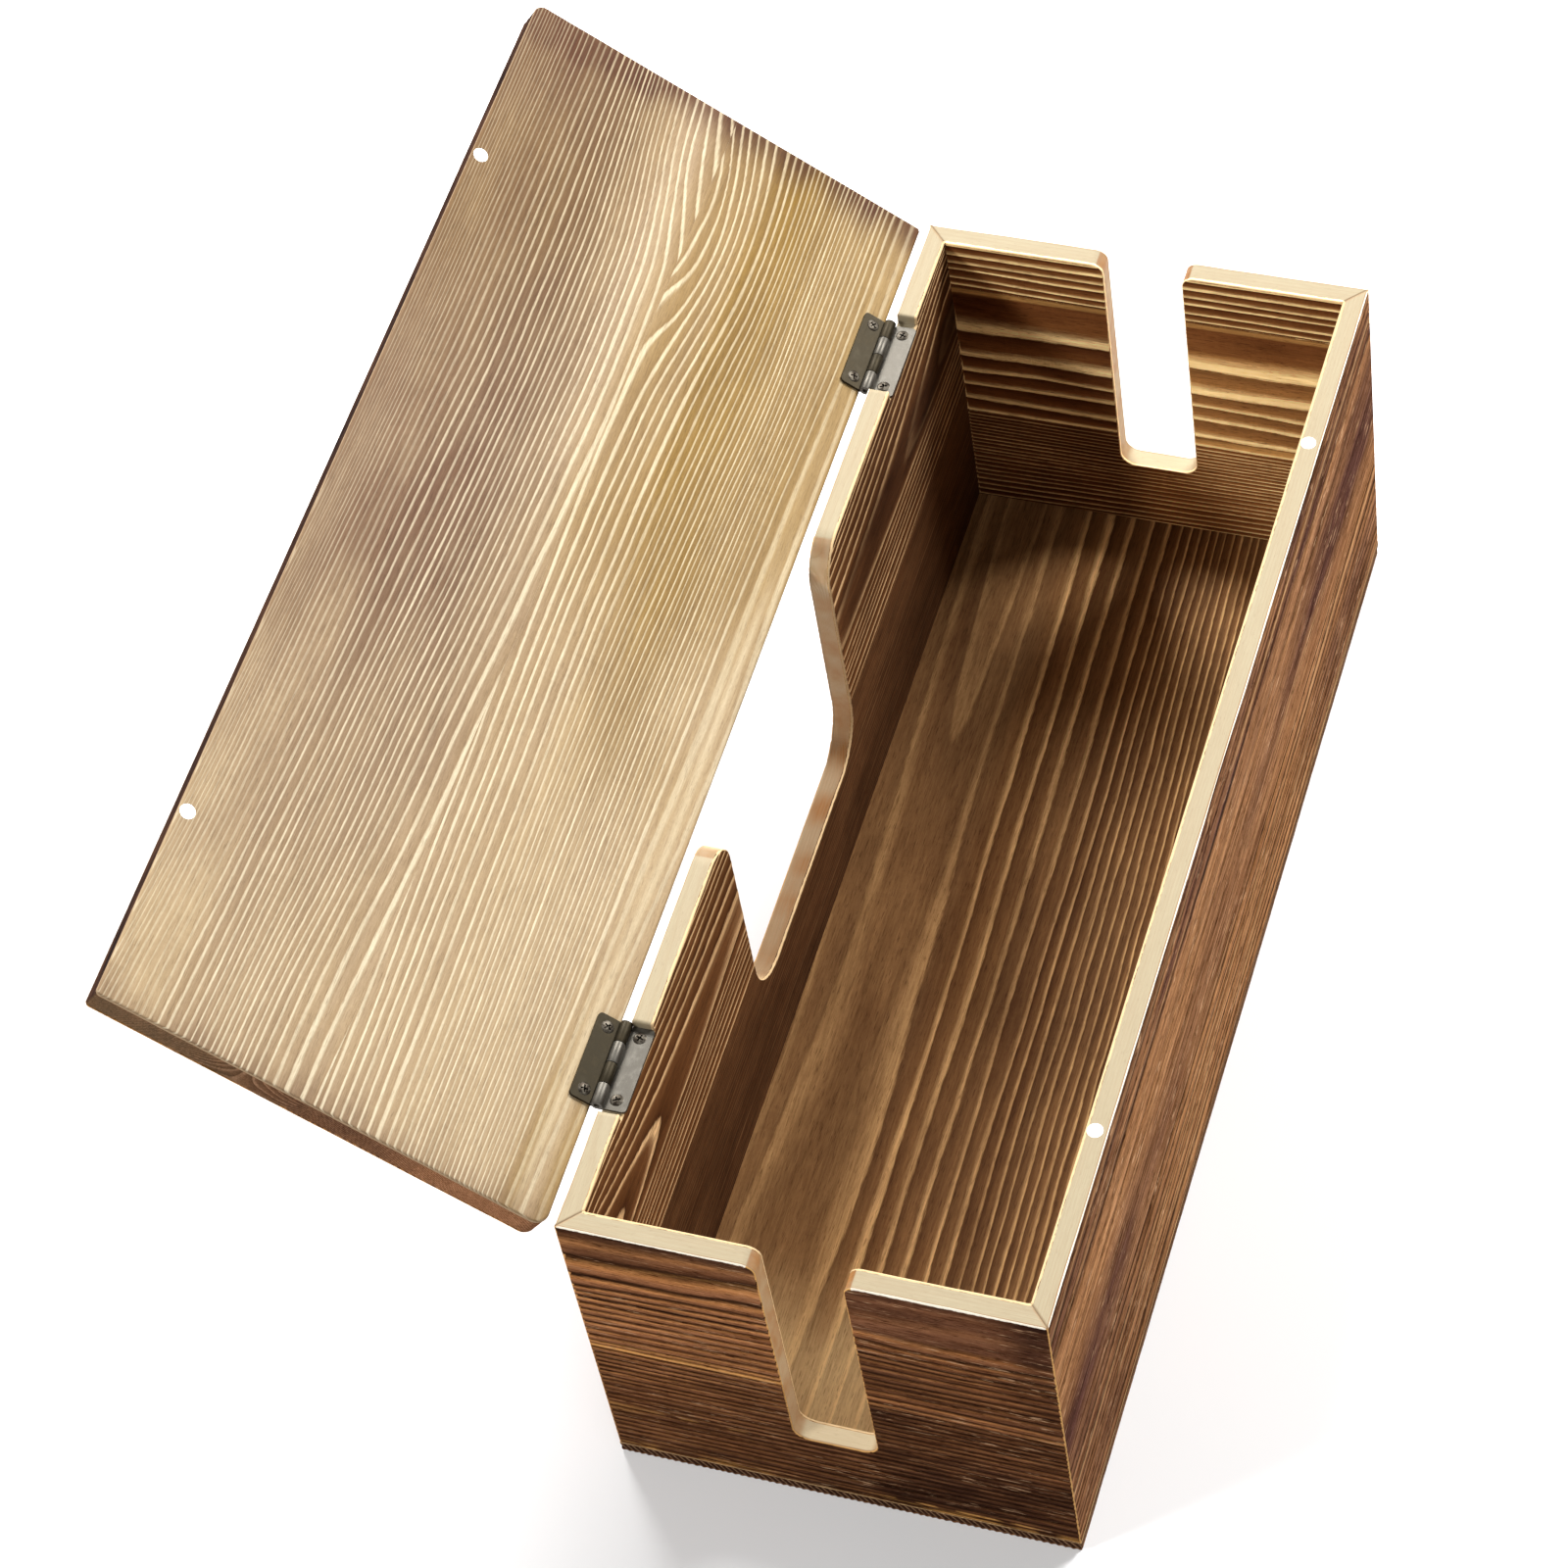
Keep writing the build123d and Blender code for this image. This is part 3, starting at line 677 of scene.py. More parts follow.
# lid, inner face: two boards glued edge to edge along a slightly slanting seam
seam_lid = lambda s: 69.0 - 0.0125 * s
lidA = Figure([
    (-4, [(-180, -4), (-60, -7), (0, -10), (80, -6), (183, -5)]),
    (-2, [(-180, 3.0), (-120, 1.6), (-60, -1.5), (0, -3.5), (60, -2), (120, -1), (183, -1)]),
    (-1, [(-180, 8.6), (-140, 7.0), (-100, 5.6), (-60, 3.6), (-20, 1.8), (40, 3.0), (100, 3.0), (183, 3.2)]),
    (0, [(-180, 13.6), (-160, 13.2), (-120, 12.2), (-60, 11.2), (-20, 10.4), (0, 10.2), (60, 8.9), (115, 7.4), (183, 7.2)]),
    (7, [(-180, 24), (-140, 24), (-60, 24.3), (-20, 24), (0, 23.4), (40, 22.6), (60, 21.9), (80, 20.8), (100, 20.2), (140, 20.3), (183, 20.3)]),
    (13, [(-180, 33.6), (-140, 33.6), (-60, 34.2), (-20, 33.6), (0, 32.9), (40, 31.6), (60, 30.9), (80, 29.8), (100, 28.9), (140, 29.1), (183, 29.6)]),
    (22, [(-180, 49.9), (-140, 50.3), (-100, 51), (-60, 51.4), (-20, 52), (0, 52), (20, 51.6), (40, 51.3), (60, 50.8), (80, 50), (100, 48.4), (120, 46.4), (140, 45.6), (160, 46.3), (183, 48.8)]),
    (23, [(-180, 53), (-140, 53.6), (-100, 54.4), (-60, 55), (-20, 55.4), (0, 55.4), (40, 54.8), (60, 54.2), (80, 53.2), (100, 51.2), (120, 49.3), (140, 48.6), (160, 49.7), (183, 53)]),
    (24, [(-180, 56), (-140, 57), (-100, 57.8), (-60, 58.2), (-20, 58.8), (0, 58.9), (40, 58), (60, 57.2), (80, 56.2), (100, 54.2), (120, 52), (140, 51.3), (160, 52.6), (183, 56.4)]),
    (25, [(-180, 59), (-140, 60), (-100, 60.6), (-60, 61), (-20, 61.4), (0, 61.5), (40, 60.8), (60, 60.2), (80, 59.3), (100, 57), (120, 54.6), (140, 53.7), (160, 55.1), (183, 59.3)]),
    (26, [(-180, 61.4), (-140, 62.1), (-100, 62.9), (-60, 63.5), (-20, 64.2), (0, 64.4), (40, 64.1), (60, 63.6), (80, 62.4), (100, 60), (120, 57.1), (140, 55.9), (160, 57.3), (183, 62.2)]),
    (27, [(-180, 64.4), (-140, 64.8), (-100, 65.7), (-60, 66.7), (-20, 67.7), (0, 68.1), (35, 68.7), (60, 68.8), (80, 68.4), (93, 67.3), (107, 62.4), (120, 59.9), (140, 58.6), (160, 60.5), (183, 65.2)]),
    (28, [(-180, 67), (-140, 67.2), (-100, 68.7), (-60, 69.3), (0, 71.5), (60, 72.5), (90, 71.5), (112, 67.3), (122, 63.4), (140, 61.6), (150, 61.5), (160, 62.6), (183, 68.2)]),
    (29, [(-180, 70.6), (-120, 71), (0, 75), (80, 76), (110, 71), (123, 67.3), (140, 65.4), (150, 65.1), (160, 66), (183, 71.5)]),
    (31, [(-180, 76), (0, 82), (80, 83), (123, 74), (150, 71), (183, 78)]),
], 184, 11, wob=0.20, uneven=0.10)
lidB = Figure([
    (-3, [(-180, 66), (-100, 62), (-40, 58), (60, 60), (110, 55), (140, 58), (160, 62), (183, 69)]),
    (-1, [(-180, 72), (-100, 68.5), (-40, 65), (60, 66.5), (110, 63.0), (135, 66), (150, 70), (165, 73.5), (183, 76.5)]),
    (0, [(-180, 76.5), (-160, 76.2), (-140, 75), (-120, 73.6), (-100, 72.3), (-80, 71.4), (-60, 70.8), (-40, 70), (0, 68.4), (60, 66.9), (110, 66.4), (125, 67.8), (140, 71.5), (155, 75.8), (183, 79)]),
    (1, [(-180, 80.8), (-160, 80.4), (-140, 79.8), (-120, 78.2), (-100, 76.5), (-80, 75.8), (-60, 75.3), (-40, 74.3), (-20, 73.2), (0, 72.5), (20, 71.5), (40, 70.9), (60, 70.2), (80, 70.0), (100, 70.2), (120, 71.2), (140, 75), (160, 78.8), (183, 81.2)]),
    (2, [(-180, 84.4), (-160, 84.1), (-140, 83.4), (-120, 82), (-100, 80.5), (-80, 79.6), (-60, 79), (-40, 78), (-20, 77), (0, 76), (20, 75.3), (40, 74.8), (60, 74), (80, 73.6), (100, 73.8), (120, 74.6), (140, 77.6), (160, 81.4), (183, 84)]),
    (3, [(-180, 87.2), (-140, 86.2), (-100, 83.6), (-60, 82), (-20, 80.1), (0, 79.2), (40, 77.9), (60, 77), (80, 76.7), (100, 76.9), (120, 77.8), (140, 80.4), (160, 84), (183, 86.3)]),
    (4, [(-180, 90), (-160, 89.6), (-140, 88.6), (-120, 87), (-100, 85.9), (-60, 84.6), (0, 81.6), (40, 80.5), (60, 79.8), (80, 79.4), (100, 79.6), (120, 80.4), (140, 82.8), (160, 86), (183, 88.3)]),
    (15, [(-180, 111.6), (-160, 110.8), (-140, 110), (-120, 109.2), (-100, 108.3), (-80, 107.5), (-60, 106.8), (-40, 106), (-20, 105.1), (0, 104.4), (40, 103.1), (60, 102.6), (80, 102.7), (120, 103.2), (140, 104), (183, 105.3)]),
    (20, [(-180, 124.3), (-160, 123.5), (-140, 122.3), (-100, 120.3), (-60, 118.8), (-20, 117.8), (0, 117.2), (40, 116), (60, 115.3), (80, 115.2), (120, 115.5), (183, 116.1)]),
    (25, [(-180, 134), (-140, 131.4), (-100, 129.4), (-60, 128.3), (-20, 127.3), (0, 126.6), (40, 125.6), (80, 125.1), (120, 125), (183, 125.1)]),
    (37, [(-180, 148), (-100, 142), (0, 138), (183, 138)]),
], 184, 12, wob=0.20, uneven=0.10)


def lid_inner(s, t, quick=False):
    ring = strips([lidA, lidB], [seam_lid], s, t)
    a0 = np.interp(s, [-180, -60, 0, 60, 183], [13.4, 11.4, 10.2, 8.9, 7.3])
    plain = smooth(0.5, -0.5, t - a0)
    wide = band(t, 50, 82, 3)
    amp = uneven_amp(ring, s, nz, 0.45)
    amp = amp * (1.0 + 0.20 * wide) * (1 - 0.45 * plain) * (1 - 0.45 * smooth(112, 120, t + 0.02 * s))
    tone = 0.03 + 0.05 * nz(s / 55 + 3, t / 24 + 8) + 0.06 * nz2(s / 18, t / 11)
    tone += 0.68 * smooth(62, 96, t - 0.08 * s) * smooth(-170, 0, s) + 0.16 * smooth(70, 96, t) * smooth(-20, -150, s)
    tone -= 0.10 * smooth(112, 126, t) * smooth(-60, -150, s)
    tone += 0.10 * blob(s, t, 100, 86, 50, 14) + 0.12 * blob(s, t, 5, 107, 45, 10) + 0.14 * blob(s, t, -10, 34, 40, 14)
    tone += 0.70 * smooth(168, 184, s + 3 * nz(t / 6, 3)) + 0.16 * smooth(140, 184, s)
    tone += 0.28 * smooth(-174, -184, s + 2 * nz(t / 5, 7)) + 0.10 * smooth(-150, -180, s)
    burn = 0.04 + 0.06 * nz2(s / 42 + 30, t / 17 + 8)
    burn += 0.40 * blob(s, t, -8, 33, 36, 15) + 0.22 * blob(s, t, 22, 22, 26, 18) + 0.16 * blob(s, t, -40, 18, 14, 10)
    burn += 0.50 * smooth(-20, 60, s) * smooth(82, 60, t) + 0.18 * smooth(-100, 20, s) * smooth(20, 40, t) * smooth(80, 60, t)
    burn -= 0.10 * plain * smooth(-20, 40, s)
    burn -= 0.26 * wide * smooth(20, 60, s)
    burn += 0.34 * smooth(76, 104, t) * smooth(20, 120, s) + 0.10 * smooth(0, 90, s)
    tone += 0.10 * smooth(-20, 60, s) * smooth(60, 30, t) * (1 - plain)
    burn += 0.50 * blob(s, t, -172, 12, 40, 3.6) + 0.55 * blob(s, t, -166, 2, 36, 2.4)
    burn += 0.16 * smooth(1.5, 0.2, t)
    pale = 0.75 * line(s, t, [(-184, 10.2), (-120, 8.3), (-60, 5.4), (0, 5.0), (60, 4.6)], 1.1, -178, 30, 20)
    fade = 0.35 + 0.65 * wide
    d = relief(ring, amp, 0.016, "ridge", fade) + 0.004 * (1 + nz2(s / 3, t / 0.7))
    d += 0.010 * (1 + nz(s / 1.1, t / 8)) * blob(s, t, -10, 30, 60, 26)
    return face_dict(ring, amp, tone, burn, pale, d * (1 - 0.6 * plain))


def straight(seed, spacing, half, t_lo=-12, t_hi=150, bend=3.0, wob=0.5, uneven=0.45, first=0.0):
    """A quarter-sawn strip: rings nearly parallel to the board's edge."""
    rs = np.random.RandomState(seed)
    guides, t, ring = [], t_lo, first
    sag = rs.uniform(-bend, bend, 4)
    xs = np.linspace(-half, half, 5)
    while t < t_hi + 14:
        step = rs.uniform(8, 16)
        shape = sag[0] * (xs / half) ** 2 + sag[1] * (xs / half) + sag[2] * np.sin(xs / half * 2.2 + sag[3])
        guides.append((ring, [(x, t + y) for x, y in zip(xs, shape)]))
        t += step
        ring += step / (spacing * rs.uniform(0.85, 1.2))
        sag[:3] += rs.uniform(-0.5, 0.5, 3)
    return Figure(guides, half + 1, seed, wob, uneven)


lidTopA = straight(41, 2.4, 184, bend=2.5, first=6.0)
lidTopB = Figure([
    (14, [(-184, 66), (-60, 62), (60, 60), (184, 66)]),
    (6, [(-184, 78), (-100, 74), (0, 72), (100, 75), (184, 80)]),
    ([(-184, 4.4), (-80, 2.8), (0, 1.2), (90, 2.2), (184, 3.8)], [(-184, 99), (-60, 97), (60, 98), (184, 101)]),
    (7, [(-184, 122), (-100, 124), (0, 126), (100, 124), (184, 120)]),
    (16, [(-184, 142), (0, 146), (184, 142)])], 185, 43, 0.5, 0.3)


def lid_outer(s, t, quick=False):
    ring = strips([lidTopA, lidTopB], [seam_lid], s, t)
    amp = uneven_amp(ring, s, nz2, 0.40, 5)
    tone = 0.26 + 0.18 * nz(s / 60 + 13, t / 20 + 4) + 0.06 * nz2(s / 15, t / 9)
    tone += 0.25 * smooth(165, 184, np.abs(s)) + 0.20 * smooth(60, 69, np.abs(t - 68.9))
    return face_dict(ring, amp, tone, 0.15 + 0.1 * nz(s / 30, t / 9), 0, relief(ring, amp, 0.30, "groove") + 0.015 * (1 + nz2(s / 3, t / 0.7)))


# back wall, inner face: a cathedral figure between the rim and mid height, fine rings, then a plain dark board
SEAM_BACK = 68.6
backA = Figure([
    (9.0, [(-177, -8), (-120, -4.0), (-60, -1.5), (60, -1.5), (120, -3.5), (177, -6)]),
    (7.0, [(-177, -3), (-150, 0), (-100, 2.5), (-60, 5.0), (60, 5.0), (100, 3.6), (177, 1.2)]),
    (6.0, [(-177, 0), (-150, 2.0), (-120, 5.2), (-100, 7.5), (-60, 8.5), (60, 8.6), (100, 7.2), (140, 5), (177, 3)]),
    (5.0, [(-174, 3), (-156, 5), (-140, 7.4), (-120, 9.8), (-94, 12), (-52, 13.8), (52, 14), (90, 12.4), (130, 9.5), (177, 5.5)]),
    (4.0, [(-172, 8), (-156, 10.5), (-136, 14), (-115, 16.3), (-94, 18), (-51, 20.5), (51, 20.5), (90, 18.4), (130, 14.6), (177, 9)]),
    (3.0, [(-177, 11), (-168, 13.8), (-152, 16.6), (-136, 19.6), (-119, 22.5), (-102, 24.2), (-86, 25.6), (-69, 26.8), (-50, 28), (50, 27.6), (80, 25.4), (110, 22.4), (140, 17.6), (177, 12)]),
    ([(-177, 0.70), (-158, 1.0), (-140, 1.55), (-123, 2.02), (-100, 2.30), (-75, 2.55), (-50, 2.68), (50, 2.60), (95, 2.35), (121, 2.02), (140, 1.5), (177, 0.7)],
     [(-177, 32), (-140, 33.6), (-123, 35), (-90, 36), (-60, 35.5), (60, 35), (121, 37), (177, 35)]),
    (3.0, [(-177, 47), (-150, 46.8), (-120, 46.4), (-90, 46.2), (-70, 45.0), (-50, 43.4), (50, 44), (90, 45.6), (130, 46.6), (177, 47)]),
    (4.0, [(-177, 49.4), (-100, 49.2), (-50, 48.6), (50, 48.8), (177, 49.4)]),
    (5.0, [(-177, 52.2), (-100, 52), (-50, 51.5), (50, 52), (177, 52.4)]),
    (6.0, [(-177, 55), (-100, 55), (-50, 54.4), (50, 55), (177, 55.2)]),
    (7.0, [(-177, 57.8), (0, 57.4), (177, 57.8)]),
    (8.0, [(-177, 61.4), (0, 61), (177, 61.2)]),
    (9.0, [(-177, 65), (0, 64.8), (177, 65)]),
    (10.0, [(-177, 68), (0, 68.2), (177, 68.2)]),
    (12.0, [(-177, 74), (0, 74.2), (177, 74.2)]),
], 178, 21, wob=0.22, uneven=0.0)
backC = straight(22, 1.7, 178, t_lo=50, bend=0.8, wob=0.4)


def back_inner(s, t, quick=False):
    ring = strips([backA, backC], [lambda x: SEAM_BACK + 0 * x], s, t)
    low = smooth(SEAM_BACK - 0.05, SEAM_BACK + 0.05, t + 0 * s)
    heart = band(t, 25, 43, 3) * (1 - low)
    amp = uneven_amp(ring, s, nz, 0.60, 20) * (1 - 0.86 * low) * (1 - 0.85 * heart * smooth(30, 65, s))
    tone = 0.10 + 0.08 * nz(s / 60 + 33, t / 18 + 4)
    # The lower board (low) is darker, and darker still towards the floor (t 72 to 112): the board's own colour and
    # painted shade together.
    tone += 0.34 * low + 0.24 * smooth(72, 112, t + 0 * s) + 0.10 * heart * smooth(-70, -110, s) + 0.36 * heart * smooth(30, 65, s) + 0.30 * smooth(30, 80, s) * (1 - low)
    burn = 0.06 + 0.10 * nz2(s / 30, t / 9) + 0.12 * low
    d = relief(ring, amp, 0.14, "ridge") + 0.010 * (1 + nz2(s / 3, t / 0.7))
    return face_dict(ring, amp, tone, burn, 0, d)


outB1 = straight(61, 2.5, 185, bend=2.5, wob=0.7)
outB2 = straight(62, 3.2, 185, bend=2.0, wob=0.6)


def back_outer(s, t, quick=False):
    ring = strips([outB1, outB2], [lambda x: SEAM_BACK + 0 * x], s, t)
    amp = uneven_amp(ring, s, nz2, 0.4, 40)
    tone = 0.24 + 0.14 * nz(s / 70 + 93, t / 14 + 4) + 0.4 * smooth(1.6, 0.2, t)
    burn = 0.15 + 0.12 * nz2(s / 30, t / 6)
    return face_dict(ring, amp, tone, burn, 0, relief(ring, amp, 0.32, "groove") + 0.015 * (1 + nz2(s / 3, t / 0.7)))


# front wall
SEAM_FRONT = 78.3
outF1 = Figure([
    (-3, [(-184, -5), (184, -5)]),
    (-1, [(-184, 2.2), (-100, 2.6), (0, 4.0), (60, 3.0), (120, 1.5), (184, 1.2)]),
    (1, [(-184, 16.5), (-160, 16.2), (-140, 15.4), (-100, 14.5), (-60, 14), (-40, 13.6), (0, 12.4), (40, 11.4), (60, 10.6), (100, 9.4), (140, 9.0), (184, 10.5)]),
    (2, [(-184, 19.5), (-140, 20.6), (-80, 20.4), (-40, 19.8), (0, 19.4), (40, 18.4), (100, 17.5), (140, 15.6), (184, 14.5)]),
    (3, [(-184, 31), (-60, 27), (0, 24.2), (20, 22.8), (40, 21.4), (60, 21), (120, 20.6), (184, 20.5)]),
    (4, [(-184, 38), (0, 34), (184, 33)]),
    (7, [(-184, 48), (0, 47.4), (184, 46)]),
    (10, [(-184, 57), (0, 57), (184, 56)]),
    (17, [(-184, 76.5), (184, 77)]),
    (19, [(-184, 82), (184, 82)]),
], 185, 51, wob=0.5, uneven=0.15)
outF2 = Figure([
    (-1, [(-184, 74), (184, 74)]),
    (0, [(-184, 79.2), (184, 78.6)]),
    (1, [(-184, 85.5), (-60, 86), (0, 87.5), (60, 86.8), (100, 85), (140, 83), (184, 82.4)]),
    (2, [(-184, 92.8), (-100, 92.6), (-60, 91.5), (0, 91.2), (60, 91), (120, 90.4), (184, 90)]),
    (3, [(-184, 98), (-60, 96), (0, 95), (60, 96), (184, 95)]),
    (4, [(-184, 101.6), (-60, 99), (0, 98.3), (184, 100)]),
    (5, [(-184, 105.4), (-60, 103), (0, 102), (184, 104)]),
    (6, [(-184, 109.6), (0, 106.8), (184, 108.5)]),
    (7, [(-184, 113), (0, 110.5), (184, 113)]),
    (8, [(-184, 117.3), (0, 114), (184, 117)]),
    (9, [(-184, 122.6), (-60, 122.5), (0, 118), (60, 120.5), (184, 121)]),
    (10, [(-184, 127), (0, 124), (184, 126)]),
    (12, [(-184, 134), (184, 134)]),
], 185, 52, wob=0.5, uneven=0.15)
inF1 = straight(71, 2.2, 178, bend=1.5, wob=0.4)
inF2 = straight(72, 3.0, 178, bend=3.0, wob=0.5)


def front_outer(s, t, quick=False):
    ring = strips([outF1, outF2], [lambda x: SEAM_FRONT + 0 * x], s, t)
    amp = uneven_amp(ring, s, nz2, 0.35, 30)
    top = smooth(22.5, 18.5, t + 0.012 * s)
    low = smooth(78, 79, t + 0 * s)
    amp = amp * (0.36 + 1.55 * top + (0.84 + 0.20 * band(s, -60, 70, 30)) * low)
    tone = 0.05 + 0.05 * nz(s / 70 + 53, t / 9 + 4) + 0.06 * nz2(s / 20, t / 4)
    tone += 0.58 * top + 0.34 * top * nz2(s / 30 + 7, t / 3) + 0.22 * band(t, 58, 78, 3) * smooth(-100, -60, s) * smooth(90, 40, s)
    tone += 0.94 * blob(s, t, -165, 64, 92, 15) + 0.88 * blob(s, t, 150, 53, 66, 14) + 0.30 * blob(s, t, 182, 33, 50, 8) + 0.20 * blob(s, t, 20, 54, 70, 3.5)
    tone += 0.26 * smooth(-60, 60, s) * band(t, 16, 60, 3) + 0.46 * smooth(-60, -150, s) * band(t, 79, 121, 3) - 0.14 * band(s, -60, 70, 30) * smooth(80, 84, t) + 0.66 * blob(s, t, 150, 107, 62, 15)
    tone += 0.45 * smooth(119, 122.6, t + 0 * s) * smooth(60, -40, s) + 0.5 * smooth(1.6, 0.2, t)
    burn = 0.10 + 0.10 * nz2(s / 26, t / 5) + 0.16 * blob(s, t, 60, 72, 120, 5)
    pale = 0.62 * line(s, t, [(0, 14.2), (40, 13.2), (60, 12.6), (100, 11.4), (140, 11.0), (184, 12.2)], 0.9, 12, None, 14)
    pale += 0.50 * line(s, t, [(60, 88.6), (100, 87.2), (140, 85.4), (184, 84.6)], 0.9, 80, None, 16)
    pale += 0.38 * line(s, t, [(-184, 8.6), (-160, 5.2), (-100, 5.8), (-60, 6.4), (-20, 6.2)], 0.8, None, -20, 16)
    pale += 0.35 * line(s, t, [(-184, 18.2), (-100, 17.6), (-40, 16.6)], 0.7, None, -30, 16)
    pale += 0.30 * line(s, t, [(-184, 94.4), (-60, 93.4)], 0.8, None, -90, 16) + 0.35 * line(s, t, [(-40, 77.2), (0, 77)], 0.6, -30, 0, 8)
    pale += 0.42 * band(t, 121.0, 123, 0.5) * smooth(70, 110, s)
    for tk, s0, s1, k in ((62.5, 20, 120, 0.34), (70.5, -40, 90, 0.38), (92, -60, 60, 0.42), (98, -100, 20, 0.46), (103.5, -150, -10, 0.50), (107, 0, 110, 0.42), (112, -120, 60, 0.46), (117, -60, 100, 0.40)):
        pale += k * line(s, t, [(-184, tk + 1.2), (-60, tk), (60, tk + 0.5), (184, tk - 1)], 0.8, s0, s1, 22) * np.clip(0.55 + nz(s / 14 + tk, 3 + 0 * t), 0, 1)
    fade = 0.30 + 0.70 * top + 0.25 * low
    d = relief(ring, amp, 0.34, "groove", fade) + 0.02 * (1 + nz2(s / 4, t / 0.8))
    return face_dict(ring, amp, tone, burn, pale, d)


def front_inner(s, t, quick=False):
    ring = strips([inF1, inF2], [lambda x: SEAM_FRONT + 0 * x], s, t)
    amp = uneven_amp(ring, s, nz, 0.55, 36)
    tone = 0.14 + 0.12 * nz(s / 60 + 83, t / 18 + 4) + 0.20 * smooth(SEAM_FRONT - 0.05, SEAM_FRONT + 0.05, t + 0 * s)
    return face_dict(ring, amp, tone, 0.1, 0, relief(ring, amp, 0.14, "ridge") + 0.010 * (1 + nz2(s / 3, t / 0.7)))


# near end wall, outer face; u runs from the hinge side to the front
SEAM_NEAR = 65.3
nearA = Figure([
    (-2, [(-70, -12), (70, -12)]),
    (-1, [(-70, 2.2), (-12, 1.8), (13, 1.5), (70, 1.5)]),
    (0, [(-69, 15.6), (-50, 14.6), (-30, 12.8), (-12, 10.4), (13, 10.5), (40, 10), (69, 10.5)]),
    (1, [(-69, 25), (-50, 24.2), (-38, 24.2), (-30, 23.6), (-24, 22.6), (-12, 22.2), (13, 22.5), (40, 22), (69, 20.5)]),
    (2, [(-69, 30.6), (-50, 29.2), (-30, 28.6), (-12, 28.2), (13, 27.6), (30, 29), (45, 28.6), (69, 27.5)]),
    (3, [(-69, 34), (-50, 33.2), (-30, 32.6), (-12, 31.6), (13, 32), (30, 32.8), (69, 32)]),
    (4, [(-69, 37), (-50, 36.4), (-12, 35.4), (13, 35.2), (30, 36), (69, 35.4)]),
    (5, [(-69, 40.6), (-50, 40.2), (-12, 39), (13, 38), (30, 38.6), (69, 37.8)]),
    (6, [(-69, 44), (-40, 43.4), (-12, 42), (13, 42), (69, 41.6)]),
    (7, [(-69, 47.4), (-40, 46.4), (-12, 45.6), (13, 45.6), (69, 45)]),
    (8, [(-69, 51), (-40, 50), (-12, 49.3), (13, 49.6), (69, 48.6)]),
    (9, [(-69, 54.6), (-40, 53.6), (-12, 53), (13, 52.4), (69, 52)]),
    (10, [(-69, 58), (-40, 57.4), (-12, 56.6), (13, 55.8), (69, 55.2)]),
    (11, [(-69, 61.5), (-40, 61), (-12, 60.4), (13, 59.6), (69, 59.6)]),
    (12, [(-69, 63.6), (-12, 63), (13, 62.8), (69, 63.4)]),
    (13, [(-69, 65.4), (69, 65.6)]),
    (15, [(-69, 72), (69, 72)]),
], 70, 31, wob=0.30, uneven=0.0)
nearB = Figure([
    (-1, [(-70, 62.8), (70, 62.8)]), (0, [(-70, 65.6), (70, 65.8)]), (1, [(-70, 68.2), (0, 68), (70, 67.8)]),
    (2, [(-70, 71), (70, 70.6)]), (3, [(-70, 73.6), (70, 73.2)]), (4, [(-70, 76.2), (70, 75.6)]), (5, [(-70, 78.8), (70, 78)]),
    (8, [(-70, 87), (70, 86)]), (12, [(-70, 97.4), (70, 97)]), (17, [(-70, 111), (70, 110)]), (20, [(-70, 119), (70, 119.4)]),
    (21, [(-70, 121.6), (70, 121.2)]), (24, [(-70, 128), (70, 128)]),
], 70, 32, wob=0.35, uneven=0.12)
nearInA = straight(38, 2.6, 64, bend=1.0, wob=0.3)
nearInB = straight(39, 1.9, 64, bend=0.5, wob=0.3)


